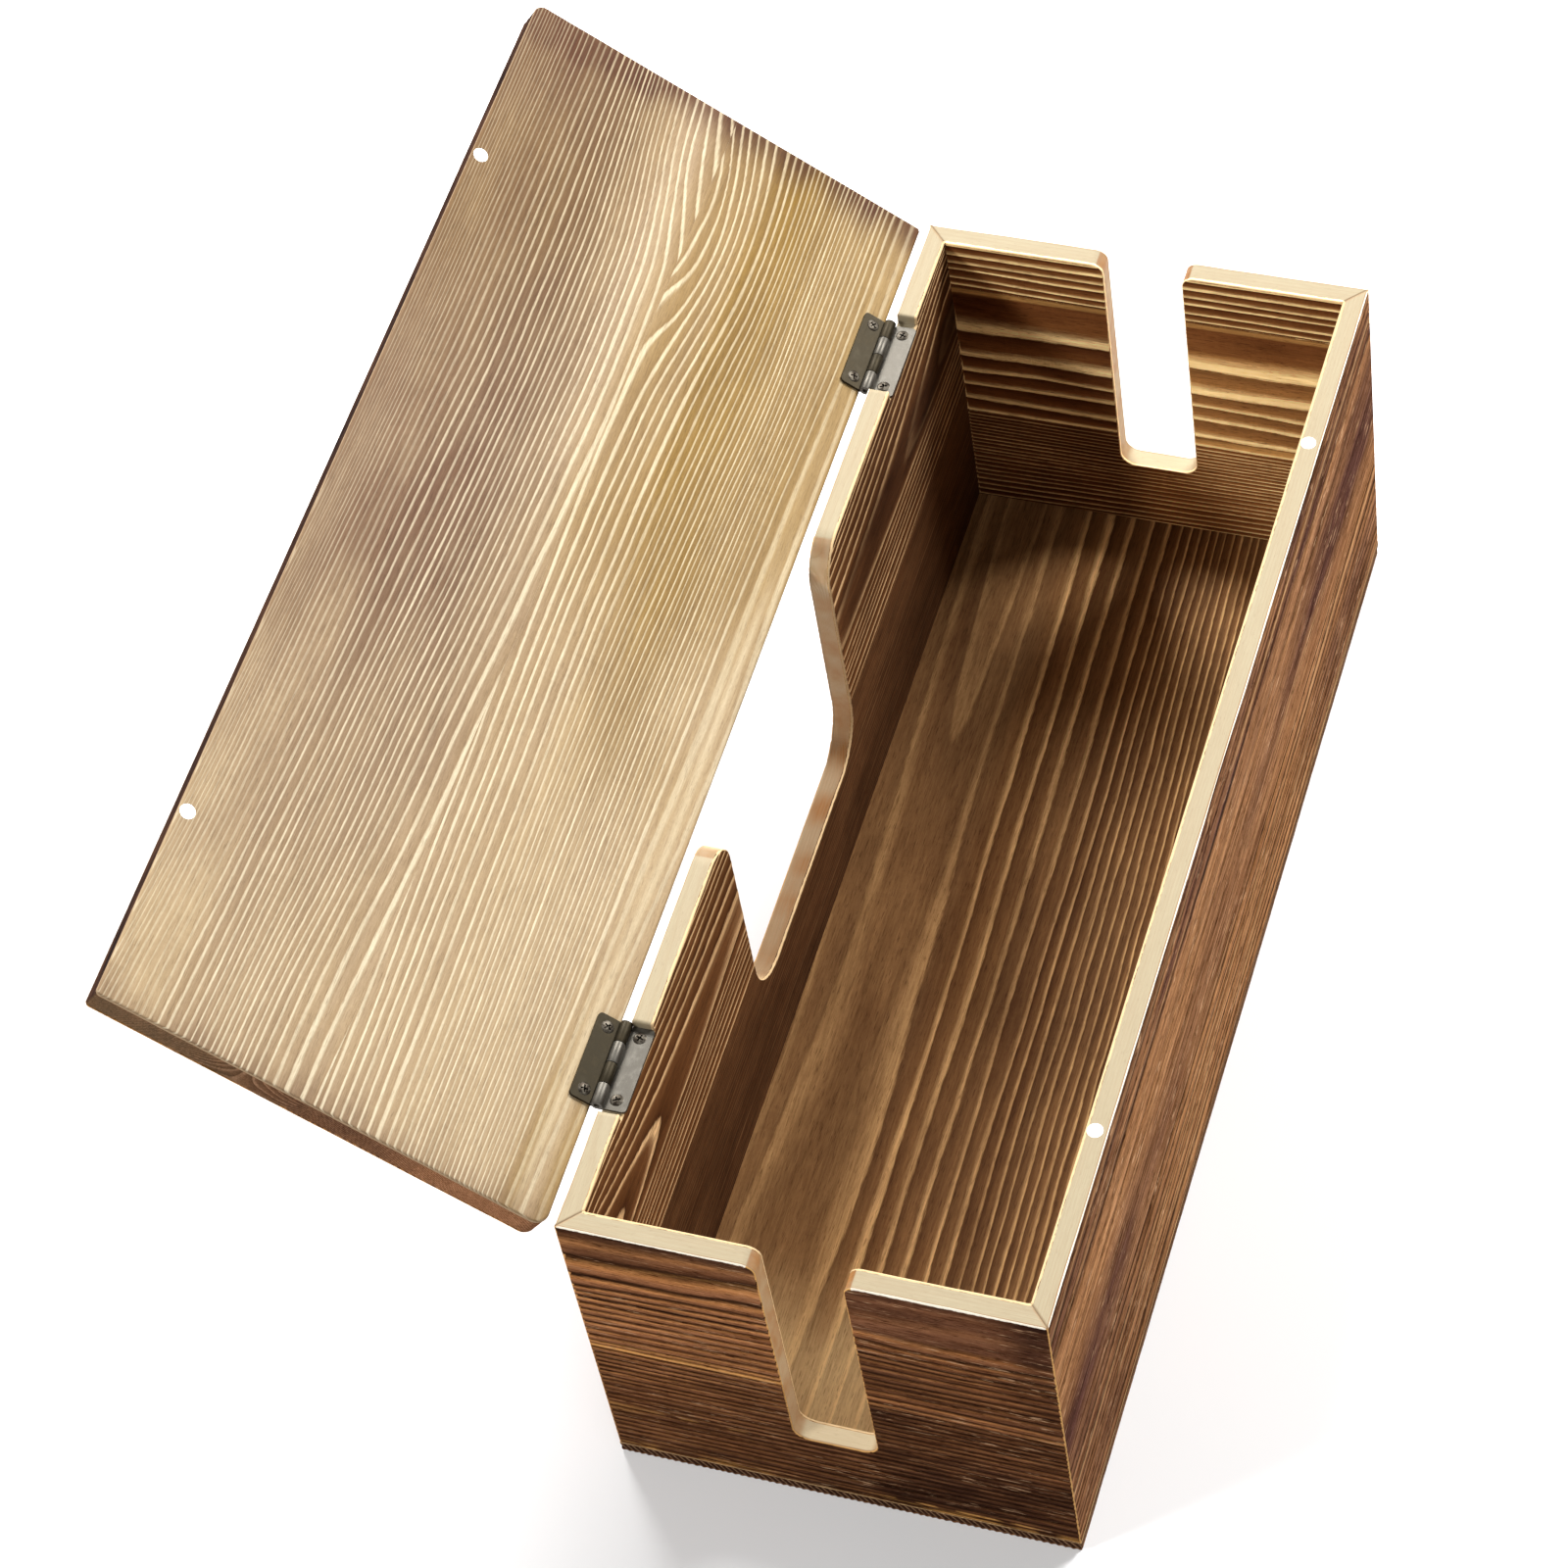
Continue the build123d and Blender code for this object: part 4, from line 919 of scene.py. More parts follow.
def near_outer(s, t, quick=False):
    u = -s
    ring = strips([nearA, nearB], [lambda x: SEAM_NEAR + 0 * x], u, t)
    low = smooth(SEAM_NEAR - 0.05, SEAM_NEAR + 0.05, t + 0 * s)
    right = smooth(5, 14, u)
    amp = uneven_amp(ring, u, nz2, 0.75, 50)
    amp = amp * (1 - 0.10 * smooth(80, 96, t + 0 * s) * low) * (1 - 0.80 * right * smooth(25, 21, t + 0 * s)) * (1 - 0.5 * smooth(7, 3, t + 0 * s))
    # The face darkens right of the slot (right) and towards the bottom: painted shade, added to the lower board's own
    # darker tone (low).
    tone = 0.08 + 0.08 * nz(u / 30 + 3, t / 12 + 44) + 0.08 * nz2(u / 9, t / 4)
    tone += 0.26 * low + 0.16 * smooth(82, 104, t + 0 * s) + 0.16 * low + 0.04 * low * right + 0.12 * low * smooth(-45, 5, u) * (1 - right)
    tone += 0.34 * smooth(12.5, 8.5, t + 0.06 * u) * (1 - right) + 0.18 * smooth(4, 2, t + 0 * s) + 0.06 * right * smooth(26, 16, t + 0 * s)
    tone += 0.28 * right * (1 - low) * smooth(30, 36, t + 0 * s) * smooth(60, 52, t + 0 * s) + 0.18 * right * smooth(45, 68, u) * (1 - low) + 0.20 * right
    tone += 0.40 * blob(u, t, 64, 10, 7, 12) + 0.35 * blob(u, t, 66, 22, 9, 3)
    burn = 0.10 + 0.10 * nz2(u / 14, t / 3) + 0.10 * right
    pale = 0.80 * line(u, t, [(-69, 64.4), (-12, 64.1)], 0.6, None, -10, 2) + 0.26 * line(u, t, [(13, 64.2), (69, 64.6)], 0.5, 12, None, 2) * np.clip(0.6 + nz(u / 5, 9), 0, 1)
    pale += 0.30 * line(u, t, [(-69, 62.2), (-12, 61.8)], 0.45, None, -10, 2) + 0.14 * line(u, t, [(-69, 16.8), (-50, 15.9), (-12, 11.6)], 0.5, None, -10, 2)
    pale += 0.45 * line(u, t, [(-69, 98.4), (-40, 99), (-20, 98.6)], 0.5, None, -25, 8) * np.clip(0.45 + 1.2 * nz(u / 5, 3), 0, 1)
    pale += 0.30 * line(u, t, [(-69, 101), (-56, 101)], 0.7, None, -60, 5)
    for k, tk in enumerate((119.7, 120.8, 121.9)):
        pale += 0.95 * line(u, t, [(-69, tk + 0.4), (69, tk)], 0.26) * np.clip(0.30 + 1.8 * nz(u / 6 + 5 * k, 3.0 * k), 0, 1) * (0.75 * smooth(-10, -34, u) + smooth(0, 30, u))
    d = relief(ring, amp, 0.42, "groove") + 0.02 * (1 + nz2(u / 3, t / 0.7))
    return face_dict(ring, amp, tone, burn, pale, d)


def near_inner(s, t, quick=False):
    ring = strips([nearInA, nearInB], [lambda x: SEAM_NEAR + 0 * x], s, t)
    amp = uneven_amp(ring, s, nz, 0.55, 80)
    tone = 0.12 + 0.12 * nz(s / 30 + 53, t / 12 + 4) + 0.25 * smooth(SEAM_NEAR - 0.05, SEAM_NEAR + 0.05, t + 0 * s)
    return face_dict(ring, amp, tone, 0.1, 0, relief(ring, amp, 0.14, "ridge") + 0.010 * (1 + nz2(s / 3, t / 0.7)))


# far end wall, inner face
SEAM_FAR = (20.2, 79.8)
farA = Figure([(-3, [(-64, -9), (64, -9)]), (0, [(-64, 1.5), (64, 1.6)]), (1, [(-64, 5.0), (-12, 5.5), (13, 5.2), (64, 5.6)]), (2, [(-64, 8.6), (-12, 9), (13, 8.8), (64, 9.2)]),
               (3, [(-64, 12), (-12, 12.8), (13, 12.4), (64, 12.4)]), (4, [(-64, 15.6), (-12, 16.6), (13, 16.2), (64, 16.8)]), (5, [(-64, 19.2), (-12, 19.8), (13, 19.6), (64, 19.9)]),
               (7, [(-64, 27), (64, 27)])], 64, 33, wob=0.12, uneven=0.0)
farB = Figure([
    (0, [(-64, 20), (64, 20)]),
    ([(-64, 0.35), (64, 0.35)], [(-64, 28), (64, 27)]),
    (1, [(-64, 40.2), (-40, 39.2), (-12, 39.0), (13, 40.6), (40, 41.6), (64, 41.4)]),
    (2, [(-64, 53), (-40, 52), (-12, 52.2), (13, 53.4), (64, 53.6)]),
    (3, [(-64, 60.6), (-40, 59.6), (-12, 60.2), (13, 60.6), (64, 61.8)]),
    (4, [(-64, 67.2), (-12, 67), (13, 67.6), (64, 68.6)]),
    (5, [(-64, 74.2), (-12, 75), (13, 75.6), (64, 75.8)]),
    (6, [(-64, 79.6), (64, 79.9)]),
    (7, [(-64, 84), (64, 84)]),
], 64, 34, wob=0.25, uneven=0.0)
farC = Figure([(-1, [(-64, 78), (64, 78)]), (0, [(-64, 80), (64, 79.9)]), (9, [(-64, 95.5), (64, 95)]), (14, [(-64, 105), (64, 104)]), (21, [(-64, 122), (64, 120)]), (24, [(-64, 130), (64, 128)])], 64, 35, wob=0.2, uneven=0.15)
farOutA = straight(36, 2.9, 70, bend=1.5, wob=0.6)
farOutB = straight(37, 2.2, 70, bend=1.0, wob=0.5)


def far_inner(s, t, quick=False):
    u = -s
    ring = strips([farA, farB, farC], [lambda x: SEAM_FAR[0] + 0 * x, lambda x: SEAM_FAR[1] + 0 * x], u, t)
    low = smooth(SEAM_FAR[1] - 0.05, SEAM_FAR[1] + 0.05, t + 0 * s)
    plain = band(t, 23, 35, 1.2)
    amp = uneven_amp(ring, u, nz, 0.80, 60) * (1 - 0.45 * plain) * (1 - 0.35 * low)
    # left paints the back wall's cast shadow: it darkens the +Y half of this face through 'tone'. right paints the lit
    # half: paler lines through 'pale', with a darker top strip.
    left, right = smooth(4, -16, u), smooth(0, 14, u)
    tone = 0.04 + 0.06 * nz(u / 30 + 3, t / 12 + 44) + 0.22 * plain + 0.44 * left + 0.38 * right * smooth(22, 18, t)
    tone += 0.18 * left * smooth(10, 30, t) + 0.22 * left * low + 0.26 * blob(u, t, 42, 26, 16, 4) + 0.10 * blob(u, t, -62, 28, 18, 7) - 0.34 * plain * left * smooth(-56, -36, u)
    burn = 0.05 + 0.06 * nz2(u / 10, t / 4)
    pale = 0.13 * right * band(t, 34, 78, 1.5) + 0.30 * band(t, 20.6, 22.6, 0.5) + 0.35 * band(t, 76.4, 79.4, 0.6) * smooth(0, 20, u)
    return face_dict(ring, amp, tone, burn, pale, relief(ring, amp, 0.14, "ridge") + 0.010 * (1 + nz2(u / 3, t / 0.7)))


def far_outer(s, t, quick=False):
    ring = strips([farOutA, farOutB, farOutB], [lambda x: SEAM_FAR[0] + 0 * x, lambda x: SEAM_FAR[1] + 0 * x], s, t)
    amp = uneven_amp(ring, s, nz2, 0.55, 70)
    tone = 0.26 + 0.14 * nz(s / 30 + 13, t / 12 + 44) + 0.25 * smooth(14, 2, t + 0 * s)
    return face_dict(ring, amp, tone, 0.15, 0, relief(ring, amp, 0.38, "groove") + 0.02 * (1 + nz2(s / 3, t / 0.7)))


# bottom board: u along the length, w from the back wall (small) to the front
floorA = Figure([
    (4, [(-184, -12), (184, -12)]),
    (3, [(-184, -2), (-110, 1), (-60, 8), (0, 6), (80, 2), (184, 2)]),
    (2, [(-184, 9), (-110, 13), (-60, 16), (0, 16), (80, 13), (184, 10)]),
    ([(-184, 1.1), (-130, 1.5), (-60, 1.8), (20, 1.5), (90, 0.9), (184, 0.3)], [(-184, 26), (0, 28), (90, 26), (184, 25)]),
    (2, [(-184, 40), (-100, 42), (0, 41), (60, 38.6), (120, 37), (184, 35.5)]),
    (3, [(-184, 50), (-100, 51), (0, 50), (60, 48), (120, 46), (184, 44)]),
    (4, [(-184, 58.5), (0, 58), (60, 56), (120, 54.6), (184, 52)]),
    (5, [(-184, 66), (0, 65), (120, 62), (184, 60)]),
    (6, [(-184, 72.5), (0, 71), (120, 68.6), (184, 66)]),
    (8, [(-184, 83), (0, 80), (120, 77.4), (184, 75)]),
    (13, [(-184, 101), (0, 97), (120, 93), (184, 90)]),
    (22, [(-184, 126), (0, 122), (120, 118), (184, 116)]),
    (28, [(-184, 146), (184, 140)]),
], 185, 24, wob=0.5, uneven=0.12)
floorU = straight(25, 3.2, 185, t_lo=-12, bend=3, wob=0.8, uneven=0.4)


def floor_top(s, t, quick=False):
    w = WIDTH - t
    ring = floorA(s, w)
    amp = uneven_amp(ring, s, nz, 0.55, 90) * (0.32 + 0.68 * smooth(34, 52, w))
    # Towards the near end the floor is less toned and golden (pale): partly the wood's own colour, partly painted
    # light.
    tone = 0.06 + 0.10 * nz(s / 60 + 53, w / 14 + 4) + 0.16 * smooth(46, 30, w) + 0.26 * smooth(-140, -70, s) - 0.12 * smooth(60, 140, s) * smooth(30, 50, w)
    gold_and_painted_light = 0.62 * smooth(-108, -150, s) * (1 + 0.6 * nz2(s / 25, w / 6))
    return face_dict(ring, amp, tone, 0.05 + 0.1 * nz2(s / 30, w / 8), gold_and_painted_light, relief(ring, amp, 0.10, "ridge"))


def under(s, t, quick=False):
    ring = floorU(s, t)
    amp = uneven_amp(ring, s, nz2, 0.5, 95)
    return face_dict(ring, amp, 0.35 + 0.16 * nz(s / 60 + 3, t / 14 + 64), 0.1, 0, 0.05 + relief(ring, amp, 0.20, "groove"))


# ------------------------------------------------------------------ placing the boards
def mitred(s, d, end):
    return s - np.sign(s) * d * smooth(end - 40, end - 12, np.abs(s))


def at_front(s, t, d):
    return np.stack([mitred(s, d, X2), -Y2 + d, HEIGHT - t], 1)


def at_back(s, t, d):
    return np.stack([mitred(s, d, X2), Y2 - d, HEIGHT - t], 1)


def at_left(s, t, d):
    return np.stack([-X2 + d, mitred(s, d, Y2), HEIGHT - t], 1)


def at_right(s, t, d):
    return np.stack([X2 - d, mitred(s, d, Y2), HEIGHT - t], 1)


def at_bottom(s, t, d):
    return np.stack([s, t - Y2, FLOOR - d], 1)


def at_lid(s, t, d):
    y, z = LID_Y1 - t - PIN_Y, LID_Z0 + d - PIN_Z
    c, n = math.cos(-OPEN), math.sin(-OPEN)
    return np.stack([s, PIN_Y + y * c - z * n, PIN_Z + y * n + z * c], 1)


WALL_H = HEIGHT - FLOOR
CH = 0.5


def wall_side(s, t, nrm, half, opening):
    """Facts at a wall's outline: s along, t down from the rim, nrm outward. opening(s, t) -> how far inside the slot's or cut-out's zone."""
    end = np.abs(s) > half - CH - 0.05
    low = t > WALL_H - CH - 0.05
    up = ~end & ~low
    cut = up & opening(s, t)
    eg = np.abs(nrm[:, 0]) / np.maximum(np.hypot(*nrm.T), 1e-6)
    soft = 0.40 + 0.10 * nz(s / 9, t / 9 + 7)
    ra = np.where(end, 0.55, np.where(low, 0.12, soft))
    rb = np.where(up, soft, 0.0)
    # wa 0.48 and wb 0.46 along the rim edges pick the near-white second raw colour of the charred woods: bare wood with
    # a painted highlight.
    wa = np.where(end, 0.36, np.where(low, 0.0, np.where(cut, 0.34, 0.48)))
    wb = np.where(up, np.where(cut, 0.30, 0.46), 0.0)
    # Painted light: the slot sills get a paler sawn tone, and sills, slot sides and the cut-out's slopes get 'pale'
    # (light), which brightens the bare wood.
    flat = smooth(0.6, 0.9, -nrm[:, 1])
    sill = np.where((np.abs(s) < 20) & (t > 70) & (half < 100), flat, 0)
    light = np.where(cut, 0.5 * sill + 0.42 * (1 - flat), 0.0)
    sawn = (0.62 + 0.30 * nz(s / 12 + 3, t / 12)) * (1 - 0.85 * sill)
    if half > 100:
        sawn = 0.52 + 0.26 * nz(s / 7 + 3, t / 7) + flat * (0.22 + 0.34 * nz(s / 11 + 5, t / 5))
        light = np.where(cut, 1 - flat, 0)
    tone = np.where(end, 0.50, np.where(cut, sawn, 0.06))
    amp = np.where(cut, (0.45 if half < 100 else 1.1) + 0.5 * eg, 0.35)
    mat = np.where(low, 0, 2)

    def rough(ss, tt, dd, rg):
        f = rg - np.floor(rg)
        base = 0.02 + 0.02 * nz2(ss / 3.0, dd / 0.8) + eg * 0.05 * (1 - smooth(0.4, 0.9, f) * smooth(1.0, 0.96, f))
        return np.where(up, np.maximum(base, 0), 0.0)

    return dict(mat=mat, ra=ra, rb=rb, m=end.astype(float), wa=wa, wb=wb, tone=tone, amp=amp, pale=light, rough=rough)


def sym(spots):
    return spots + [(-b, -a) for a, b in spots]


def seam_rows(*ts):
    return [(t - 0.03, t + 0.03) for t in ts]


plain_wall = lambda s, t: sd_box(s, t, -X2, X2, 0, WALL_H)
end_rect = lambda s, t: sd_box(s, t, -Y2, Y2, 0, WALL_H)
sd_back = lambda s, t: np.maximum(np.maximum(plain_wall(s, t), -sd_u(s, HEIGHT - t, CUT["half"], CUT["floor"], CUT["low"], CUT["top"])),
                                  -sd_box(np.abs(s), t, NOTCH_X0, NOTCH_X1, -5, HEIGHT - NOTCH_Z))
sd_end = lambda s, t: np.maximum(end_rect(s, t), -sd_u(s, HEIGHT - t, SLOT["half"], SLOT["floor"], SLOT["low"], SLOT["top"]))
in_cut = lambda s, t: (np.abs(s) < CUT["half"] + CUT["top"] - 1) & (t > 0.9) & (np.abs(s) < 100)
in_slot = lambda s, t: (np.abs(s) < SLOT["half"] + SLOT["top"] - 0.5) & (t > 0.9)
in_none = lambda s, t: np.zeros(len(s), bool)

S_front = graded(-X2 + CH, X2 - CH, 2.9, 0.7, sym([(X2 - 4, X2 - CH)]))
S_back = graded(-X2 + CH, X2 - CH, 3.9, 0.8, sym([(X2 - 3, X2 - CH), (NOTCH_X0 - CH - 1.5, NOTCH_X0 - CH), (NOTCH_X0 - CH, NOTCH_X0 + 1.0),
                                                 (NOTCH_X1 - 1.0, NOTCH_X1 + CH), (NOTCH_X1 + CH, NOTCH_X1 + CH + 1.5), (CUT["half"] + CH, CUT["half"] + CUT["top"] + 1),
                                                 (CUT["half"] - CUT["low"] - 1, CUT["half"] + CH)]))
S_end = graded(-Y2 + CH, Y2 - CH, 1.5, 0.45, sym([(Y2 - 3, Y2 - CH), (SLOT["half"] + CH, SLOT["half"] + SLOT["top"] + 1.0), (SLOT["half"] - SLOT["low"] - 0.6, SLOT["half"] + CH)]))
rows = lambda seams, more=(): graded(CH, WALL_H - CH, 0.46, 0.28, [(CH, 5), *more, *seam_rows(*seams)])

boards = {}
boards["front"] = build_board("front_wall_board", S_front, rows([SEAM_FRONT]), plain_wall, CH, WALL, at_front, front_outer, front_inner,
                              lambda s, t, n: wall_side(s, t, n, X2, in_none), node="front_wall")
boards["back"] = build_board("back_wall_board", S_back, rows([SEAM_BACK], [(CH, HEIGHT - NOTCH_Z + CH)]), sd_back, CH, WALL, at_back, back_outer, back_inner,
                             lambda s, t, n: wall_side(s, t, n, X2, in_cut), node="back_wall")
boards["left"] = build_board("left_end_board", S_end, rows([SEAM_NEAR]), sd_end, CH, WALL, at_left, near_outer, near_inner,
                             lambda s, t, n: wall_side(s, t, n, Y2, in_slot), node="left_end_wall")
boards["right"] = build_board("right_end_board", S_end, rows(SEAM_FAR), sd_end, CH, WALL, at_right, far_outer, far_inner,
                              lambda s, t, n: wall_side(s, t, n, Y2, in_slot), node="right_end_wall")


def bottom_side(s, t, nrm):
    L = len(s)
    end = np.abs(s) > X2 - CH - 0.05

    def teeth(tt, dd):
        return tt / 2.05 + 0.28 * dd + 0.25 * nz(tt / 7, 3)

    def rough_b(ss, tt, dd, rg):
        tick = 0.5 + 0.5 * np.sin(teeth(tt, dd) * 2 * np.pi)
        return np.where(end, 0.06 + 0.40 * tick * smooth(0.6, 4.0, dd), 0.05 + 0.05 * nz2(ss / 4, dd))

    return dict(mat=np.full(L, 3), ra=np.full(L, 0.12), rb=np.full(L, 0.45), m=np.zeros(L), wa=np.zeros(L), wb=np.zeros(L),
                tone=np.where(end, 0.42, 0.36), amp=np.where(end, 0.55, 0.7), rough=rough_b, jag=1.0,
                ring=lambda ss, tt, dd: np.where(end, teeth(tt, dd), dd / 1.3 + 0.1 * nz(ss / 20, 4)))


S_bot = graded(-X2 + CH, X2 - CH, 4.0, 1.0, sym([(X2 - 3, X2 - CH)]))
T_bot = graded(CH, WIDTH - CH, 0.5, 0.5, [])
boards["bottom"] = build_board("bottom_board", S_bot, T_bot, lambda s, t: sd_box(s, t, -X2, X2, 0, WIDTH), CH, FLOOR, at_bottom, floor_top, under, bottom_side, node="bottom_panel", edge_rows=8)


# lid outline with its four hand-sanded corners
def sd_lid(s, t):
    d = sd_box(s, t, -LID_L / 2, LID_L / 2, 0, LID_W)
    for sx, st, r in ((-1, 0, 4.5), (1, 0, 1.2), (1, 1, 3.0), (-1, 1, 1.4)):
        qs = sx * s - (LID_L / 2 - r)
        qt = (r - t) if st == 0 else (t - (LID_W - r))
        d = np.where((qs > 0) & (qt > 0), np.hypot(qs, qt) - r, d)
    return d


CL = 0.68


def lid_side(s, t, nrm):
    L = len(s)
    free = nrm[:, 1] > 0.75 * np.hypot(*nrm.T)
    eg = np.abs(nrm[:, 0]) / np.maximum(np.hypot(*nrm.T), 1e-6)
    both = np.clip(0.79 + 0.14 * nz(s / 9, t / 9 + 7), 0.71, 0.95)

    def rough_l(ss, tt, dd, rg):
        f = rg - np.floor(rg)
        return 0.04 + 0.03 * nz2(ss / 3.0, dd / 0.8) + eg * 0.20 * (1 - smooth(0.3, 0.8, f) * smooth(1.0, 0.95, f))

    return dict(mat=np.full(L, 3), ra=both, rb=both, m=np.zeros(L), wa=np.where(free, 0.16, 0.22), wb=np.full(L, 0.15),
                tone=np.where(free, 0.86, np.where(t < 6, 0.1, -0.05 + 0.54 * smooth(20, 60, t) + 0.34 * smooth(60, 125, t) + 0.06 * nz(t / 6, 3))), amp=np.where(free, 0.15, 0.8),
                pale=np.where(free, 0.0, 0.24 * smooth(60, 125, t)), rough=rough_l)


S_lid = graded(-LID_L / 2 + CL, LID_L / 2 - CL, 3.4, 0.5, sym([(LID_L / 2 - 4.6, LID_L / 2 - CL)]))
T_lid = graded(CL, LID_W - CL, 0.47, 0.35, [(CL, 4.6), *seam_rows(69.0), (LID_W - 4.6, LID_W - CL)])
boards["lid"] = build_board("lid_board", S_lid, T_lid, sd_lid, CL, LID_T, at_lid, lid_inner, lid_outer, lid_side, body="lid", node="lid_panel", edge_rows=16,
                            warp=lambda S, T: T - 0.0125 * S * smooth(6, 60, T) * smooth(132, 78, T))

# ------------------------------------------------------------------ wood materials
BRIGHT = [(0.0, 0.0), (0.60, 0.0), (0.68, 0.35), (0.75, 1.0), (0.91, 1.0), (0.96, 0.5), (1.0, 0.0)]
LID_IN = wood("lid_inner_wood",
              [(0.0, (190, 162, 126)), (0.12, (196, 169, 132)), (0.50, (207, 181, 146)), (0.70, (198, 171, 134)), (1.0, (190, 162, 126))], (255, 240, 207), BRIGHT,
              (222, 197, 156), (136, 103, 97), (196, 172, 68), (252, 234, 198), gain=(0.615, 0.60, 0.575), keep=0.33, raw=(200, 170, 134), spec=0.1,
              fine=0.13, mid=0.10, broad=0.07, stain=0.12, pores=0.30, ripple=0.04, bump=0.2, speck=0.09, grit=0.7)
DARK = [(0.0, 1.0), (0.07, 1.0), (0.14, 0.45), (0.22, 0.0), (0.76, 0.0), (0.86, 0.40), (0.93, 0.95), (1.0, 1.0)]
# The near-white second raw colour here is bare wood and a painted highlight on the most worn rim arris.
FRONT_OUT = wood("charred_front_wood", [(0.0, (160, 112, 74)), (0.20, (178, 128, 84)), (0.32, (172, 122, 80)), (0.50, (158, 112, 75)), (0.85, (150, 106, 72)), (1.0, (130, 92, 64))],
                 (44, 33, 26), DARK, (160, 115, 78), (140, 132, 166), (160, 108, 66), (222, 178, 126),
                 gain=(0.84, 0.84, 0.84), keep=0.2, raw=(206, 160, 104), raw2=(255, 246, 228), spec=0.0, fine=0.46, mid=0.60, broad=0.58, stain=0.26, pores=0.7,
                 dashes=0.70, bump=0.6, up=-1.0, speck=0.20, grit=0.22, dash=0.55)
DEEP = [(0.0, 1.0), (0.09, 1.0), (0.17, 0.55), (0.27, 0.0), (0.68, 0.0), (0.80, 0.40), (0.90, 0.95), (1.0, 1.0)]
# The near-white second raw colour here is bare wood and a painted highlight on the most worn rim arris.
OUT = wood("charred_outer_wood", [(0.0, (150, 98, 62)), (0.22, (190, 130, 78)), (0.34, (182, 122, 74)), (0.50, (150, 100, 66)), (0.85, (134, 88, 60)), (1.0, (112, 74, 50))],
           (38, 21, 12), DEEP, (124, 82, 58), (110, 110, 126), (150, 104, 66), (236, 172, 96),
           gain=(0.94, 0.95, 0.96), keep=0.2, raw=(214, 162, 98), raw2=(255, 244, 224), spec=0.0, fine=0.40, mid=0.42, broad=0.34, stain=0.24, pores=0.8, dashes=0.60,
           bump=0.8, up=-1.0, speck=0.24, grit=0.42, dash=1.5)
LINES = [(0.0, 0.0), (0.62, 0.0), (0.74, 0.30), (0.82, 1.0), (0.93, 1.0), (0.98, 0.5), (1.0, 0.0)]
IN = wood("charred_inner_wood", [(0.0, (70, 40, 20)), (0.15, (88, 54, 28)), (0.50, (108, 70, 40)), (0.74, (120, 80, 48)), (1.0, (84, 52, 28))], (226, 188, 138), LINES,
          (106, 70, 42), (100, 78, 70), (150, 104, 66), (206, 158, 92),
          gain=(1.12, 1.12, 1.12), keep=0.6, raw=(200, 172, 130), spec=0.06, fine=0.24, mid=0.28, broad=0.20, stain=0.24, pores=0.6, ripple=0.08, bump=0.4, speck=0.10)
# This wood takes far_inner's painted shadow of the back wall and its painted light on the lit half.
FAR_IN = wood("smoked_end_wood_painted_light_and_shade", [(0.0, (70, 38, 18)), (0.15, (92, 54, 28)), (0.50, (118, 77, 41)), (0.72, (136, 93, 51)), (1.0, (90, 56, 28))], (247, 222, 160), LINES,
              (122, 78, 42), (112, 84, 70), (150, 104, 66), (236, 184, 108),
              gain=(2.35, 2.35, 2.35), keep=0.75, raw=(200, 172, 130), spec=0.06, fine=0.18, mid=0.20, broad=0.10, stain=0.16, pores=0.6, ripple=0.08, bump=0.4, speck=0.08)
FLOOR_IN = wood("box_floor_wood", [(0.0, (86, 54, 28)), (0.15, (98, 64, 34)), (0.55, (122, 84, 48)), (1.0, (110, 74, 42))], (214, 172, 114),
                [(0.0, 0.0), (0.66, 0.02), (0.78, 0.5), (0.86, 1.0), (0.94, 1.0), (0.98, 0.4), (1.0, 0.0)],
                (138, 104, 66), (112, 84, 72), (160, 112, 70), (200, 170, 120), gain=(1.34, 1.32, 1.34), keep=0.8, raw=(200, 172, 130), spec=0.05, fine=0.24, mid=0.20,
                broad=0.18, stain=0.22, pores=0.5, ripple=0.05, bump=0.25, speck=0.08)
RAW = bare_wood("bare_rim_wood", (240, 222, 184), (206, 142, 82), (208, 172, 122), gain=(0.41, 0.41, 0.405))
END = wood("burnt_end_grain", [(0.0, (60, 42, 30)), (0.2, (78, 54, 40)), (0.6, (98, 70, 52)), (1.0, (98, 70, 52))], (226, 186, 146), BRIGHT,
           (100, 72, 54), (96, 94, 104), (150, 100, 64), (214, 176, 128), gain=(0.66, 0.60, 0.58), keep=0.3, raw=(190, 156, 116), spec=0.0, fine=0.34, mid=0.34,
           broad=0.10, stain=0.25, pores=0.6, bump=0.6, speck=0.2)
LID_END = wood("lid_end_grain", [(0.0, (100, 62, 40)), (0.2, (130, 88, 60)), (0.6, (164, 116, 82)), (1.0, (164, 116, 82))], (206, 156, 116), BRIGHT,
               (160, 112, 82), (64, 84, 120), (150, 100, 64), (214, 176, 128), gain=(0.74, 0.71, 0.70), keep=0.9, raw=(150, 110, 84), spec=0.0, fine=0.26, mid=0.26,
               broad=0.12, stain=0.20, pores=0.5, bump=0.5, speck=0.12)
for key, mats in dict(front=(FRONT_OUT, IN, RAW), back=(OUT, IN, RAW), left=(OUT, IN, RAW), right=(OUT, FAR_IN, RAW), bottom=(FLOOR_IN, OUT, RAW, END), lid=(LID_IN, OUT, RAW, LID_END)).items():
    ob = boards[key]
    for m in mats:
        ob.data.materials.append(m)


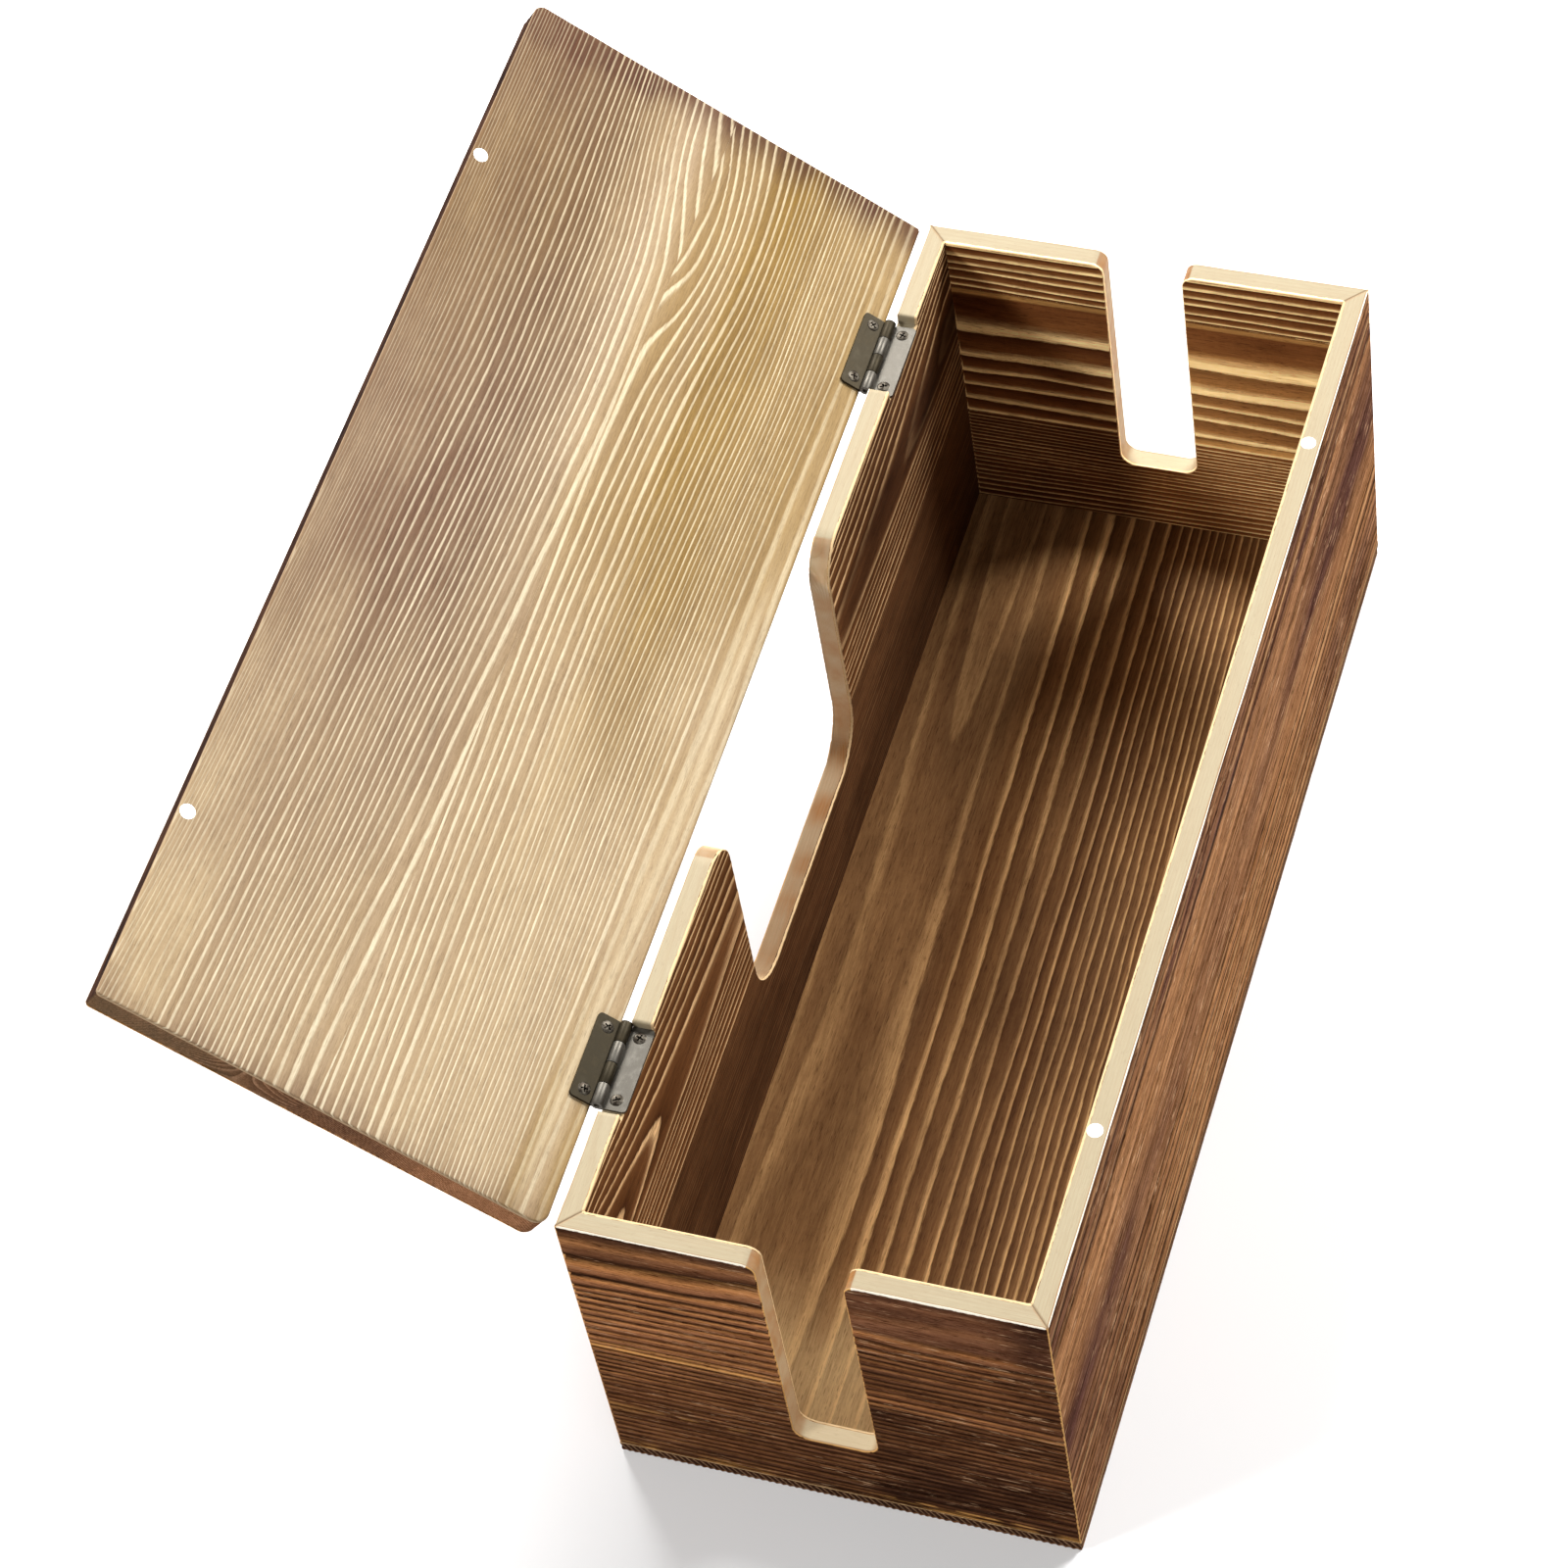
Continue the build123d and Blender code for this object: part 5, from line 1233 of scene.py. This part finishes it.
# ------------------------------------------------------------------ metal parts: CAD shape, softened edges, worn plating
def metal(name, base, worn, rough=0.38, mixing=(0.45, 0.75), scale=260.0, bump=0.08, metallic=0.85, speck=0.3):
    N = Nodes(name)
    co = N.nt.nodes.new("ShaderNodeTexCoord").outputs["Object"]
    n1 = N.noise(co, scale, 4, 0.6)
    n2 = N.noise(co, scale * 9, 3, 0.6)
    n3 = N.noise(N.scaled(co, 1, 9, 9), scale * 2.5, 3, 0.6)
    f = N.remap(N.add(N.mul(n1, 0.75), N.mul(n3, 0.25)), mixing[0], mixing[1])
    col = N.mix(f, srgb(*base), srgb(*worn))
    col = N.mix(N.mul(N.remap(n2, 0.58, 0.72), speck), col, N.mix(1.0, col, srgb(120, 108, 92), "MULTIPLY"))
    N.put(N.bsdf.inputs["Base Color"], col)
    N.bsdf.inputs["Metallic"].default_value = metallic
    N.bsdf.inputs["Specular IOR Level"].default_value = 0.15
    N.put(N.bsdf.inputs["Roughness"], N.remap(n1, 0.3, 0.7, rough - 0.06, rough + 0.08, "LINEAR"))
    N.put(N.bsdf.inputs["Normal"], N.bump(N.add(n1, N.mul(n2, 0.3)), bump, 0.0001))
    return N.mat


BRONZE = metal("antique_bronze", (82, 78, 71), (108, 104, 96), 0.44, metallic=0.75)
LID_LEAF = metal("antique_bronze_dull", (45, 39, 27), (64, 56, 41), 0.50, metallic=0.6)
SCREW = metal("screw_bronze", (46, 40, 33), (96, 90, 80), 0.44, (0.42, 0.62), 700)
PIN = metal("pin_wire", (64, 57, 48), (100, 93, 83), 0.40)
NICKEL = metal("magnet_nickel", (244, 243, 239), (250, 249, 246), 0.42, (0.4, 0.7), 500, 0.03, 0.35, 0.1)
BRAD = metal("brad_steel", (150, 150, 152), (190, 190, 192), 0.4)
for node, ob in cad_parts.items():
    mat = next((m for k, m in (("lid_leaf", LID_LEAF), ("leaf", BRONZE), ("screws", SCREW), ("pin", PIN), ("magnet", NICKEL), ("brad", BRAD)) if k in node), None)
    if mat is None:
        continue
    ob.data.materials.clear()
    ob.data.materials.append(mat)
    if "magnet" not in node and "brad" not in node:
        w = ob.modifiers.new("weld", "WELD")
        w.merge_threshold = 0.00001
        b = ob.modifiers.new("ease", "BEVEL")
        b.width, b.segments, b.limit_method, b.angle_limit = 0.00012, 2, "ANGLE", math.radians(35)
        b.harden_normals = False

# ------------------------------------------------------------------ floor, light, camera
bpy.ops.mesh.primitive_plane_add(size=6, location=(0, 0, 0))
ground = bpy.context.object
ground.name = "floor_plane"
g = Nodes("pale_floor")
g.bsdf.inputs["Base Color"].default_value = (0.90, 0.90, 0.90, 1)
g.bsdf.inputs["Roughness"].default_value = 0.9
g.bsdf.inputs["Specular IOR Level"].default_value = 0.1
g.bsdf.inputs["Emission Color"].default_value = (1, 1, 1, 1)
g.bsdf.inputs["Emission Strength"].default_value = 0.04
ground.data.materials.append(g.mat)

world = bpy.data.worlds.new("studio")
bpy.context.scene.world = world
world.use_nodes = True
world.node_tree.nodes["Background"].inputs[0].default_value = (1, 1, 1, 1)
world.node_tree.nodes["Background"].inputs[1].default_value = 0.20


def area(name, towards, distance, size, power, at=(0, 0, 0.08), colour=(1, 1, 1)):
    """A round area light seen from 'at' in the direction 'towards'."""
    li = bpy.data.lights.new(name, "AREA")
    li.shape, li.size, li.energy, li.color = "DISK", size, power, colour
    ob = bpy.data.objects.new(name, li)
    bpy.context.scene.collection.objects.link(ob)
    back = np.array(towards, float)
    back /= np.linalg.norm(back)
    right = np.cross((0, 0, 1.0), back)
    right /= np.linalg.norm(right)
    m = np.eye(4)
    m[:3, 0], m[:3, 1], m[:3, 2], m[:3, 3] = right, np.cross(back, right), back, np.array(at) + back * distance
    ob.matrix_world = Matrix(m.tolist())
    return ob


area("back_light", (0.60, 0.42, 0.60), 2.2, 0.9, 65)
area("side_light", (0.62, -0.45, 0.62), 2.2, 0.9, 68)
area("key", (-0.50, 0.55, 0.66), 2.0, 0.35, 20)
area("fill", (-0.70, -0.50, 0.80), 2.2, 1.6, 4)

cam_data = bpy.data.cameras.new("camera")
cam_data.sensor_width, cam_data.sensor_fit = 36.0, "HORIZONTAL"
cam_data.lens = 36.0 * 5025.34 / 1600.0
cam_data.clip_start, cam_data.clip_end = 0.05, 20
cam = bpy.data.objects.new("camera", cam_data)
bpy.context.scene.collection.objects.link(cam)
right = (0.2919540579466084, -0.9489701668038905, -0.11924114459659002)
down = (-0.7953889610694357, -0.17166441649346903, -0.5812811098933464)
ahead = (0.5311489703062524, 0.264550468958483, -0.8049185180603405)
eye = (-0.77644962, -0.32070459, 1.25893822)
cam.matrix_world = Matrix([[right[i], -down[i], -ahead[i], eye[i]] for i in range(3)] + [[0, 0, 0, 1]])
bpy.context.scene.camera = cam
vs = bpy.context.scene.view_settings
vs.view_transform, vs.look, vs.exposure, vs.gamma = "Standard", "None", 0.0, 1.0
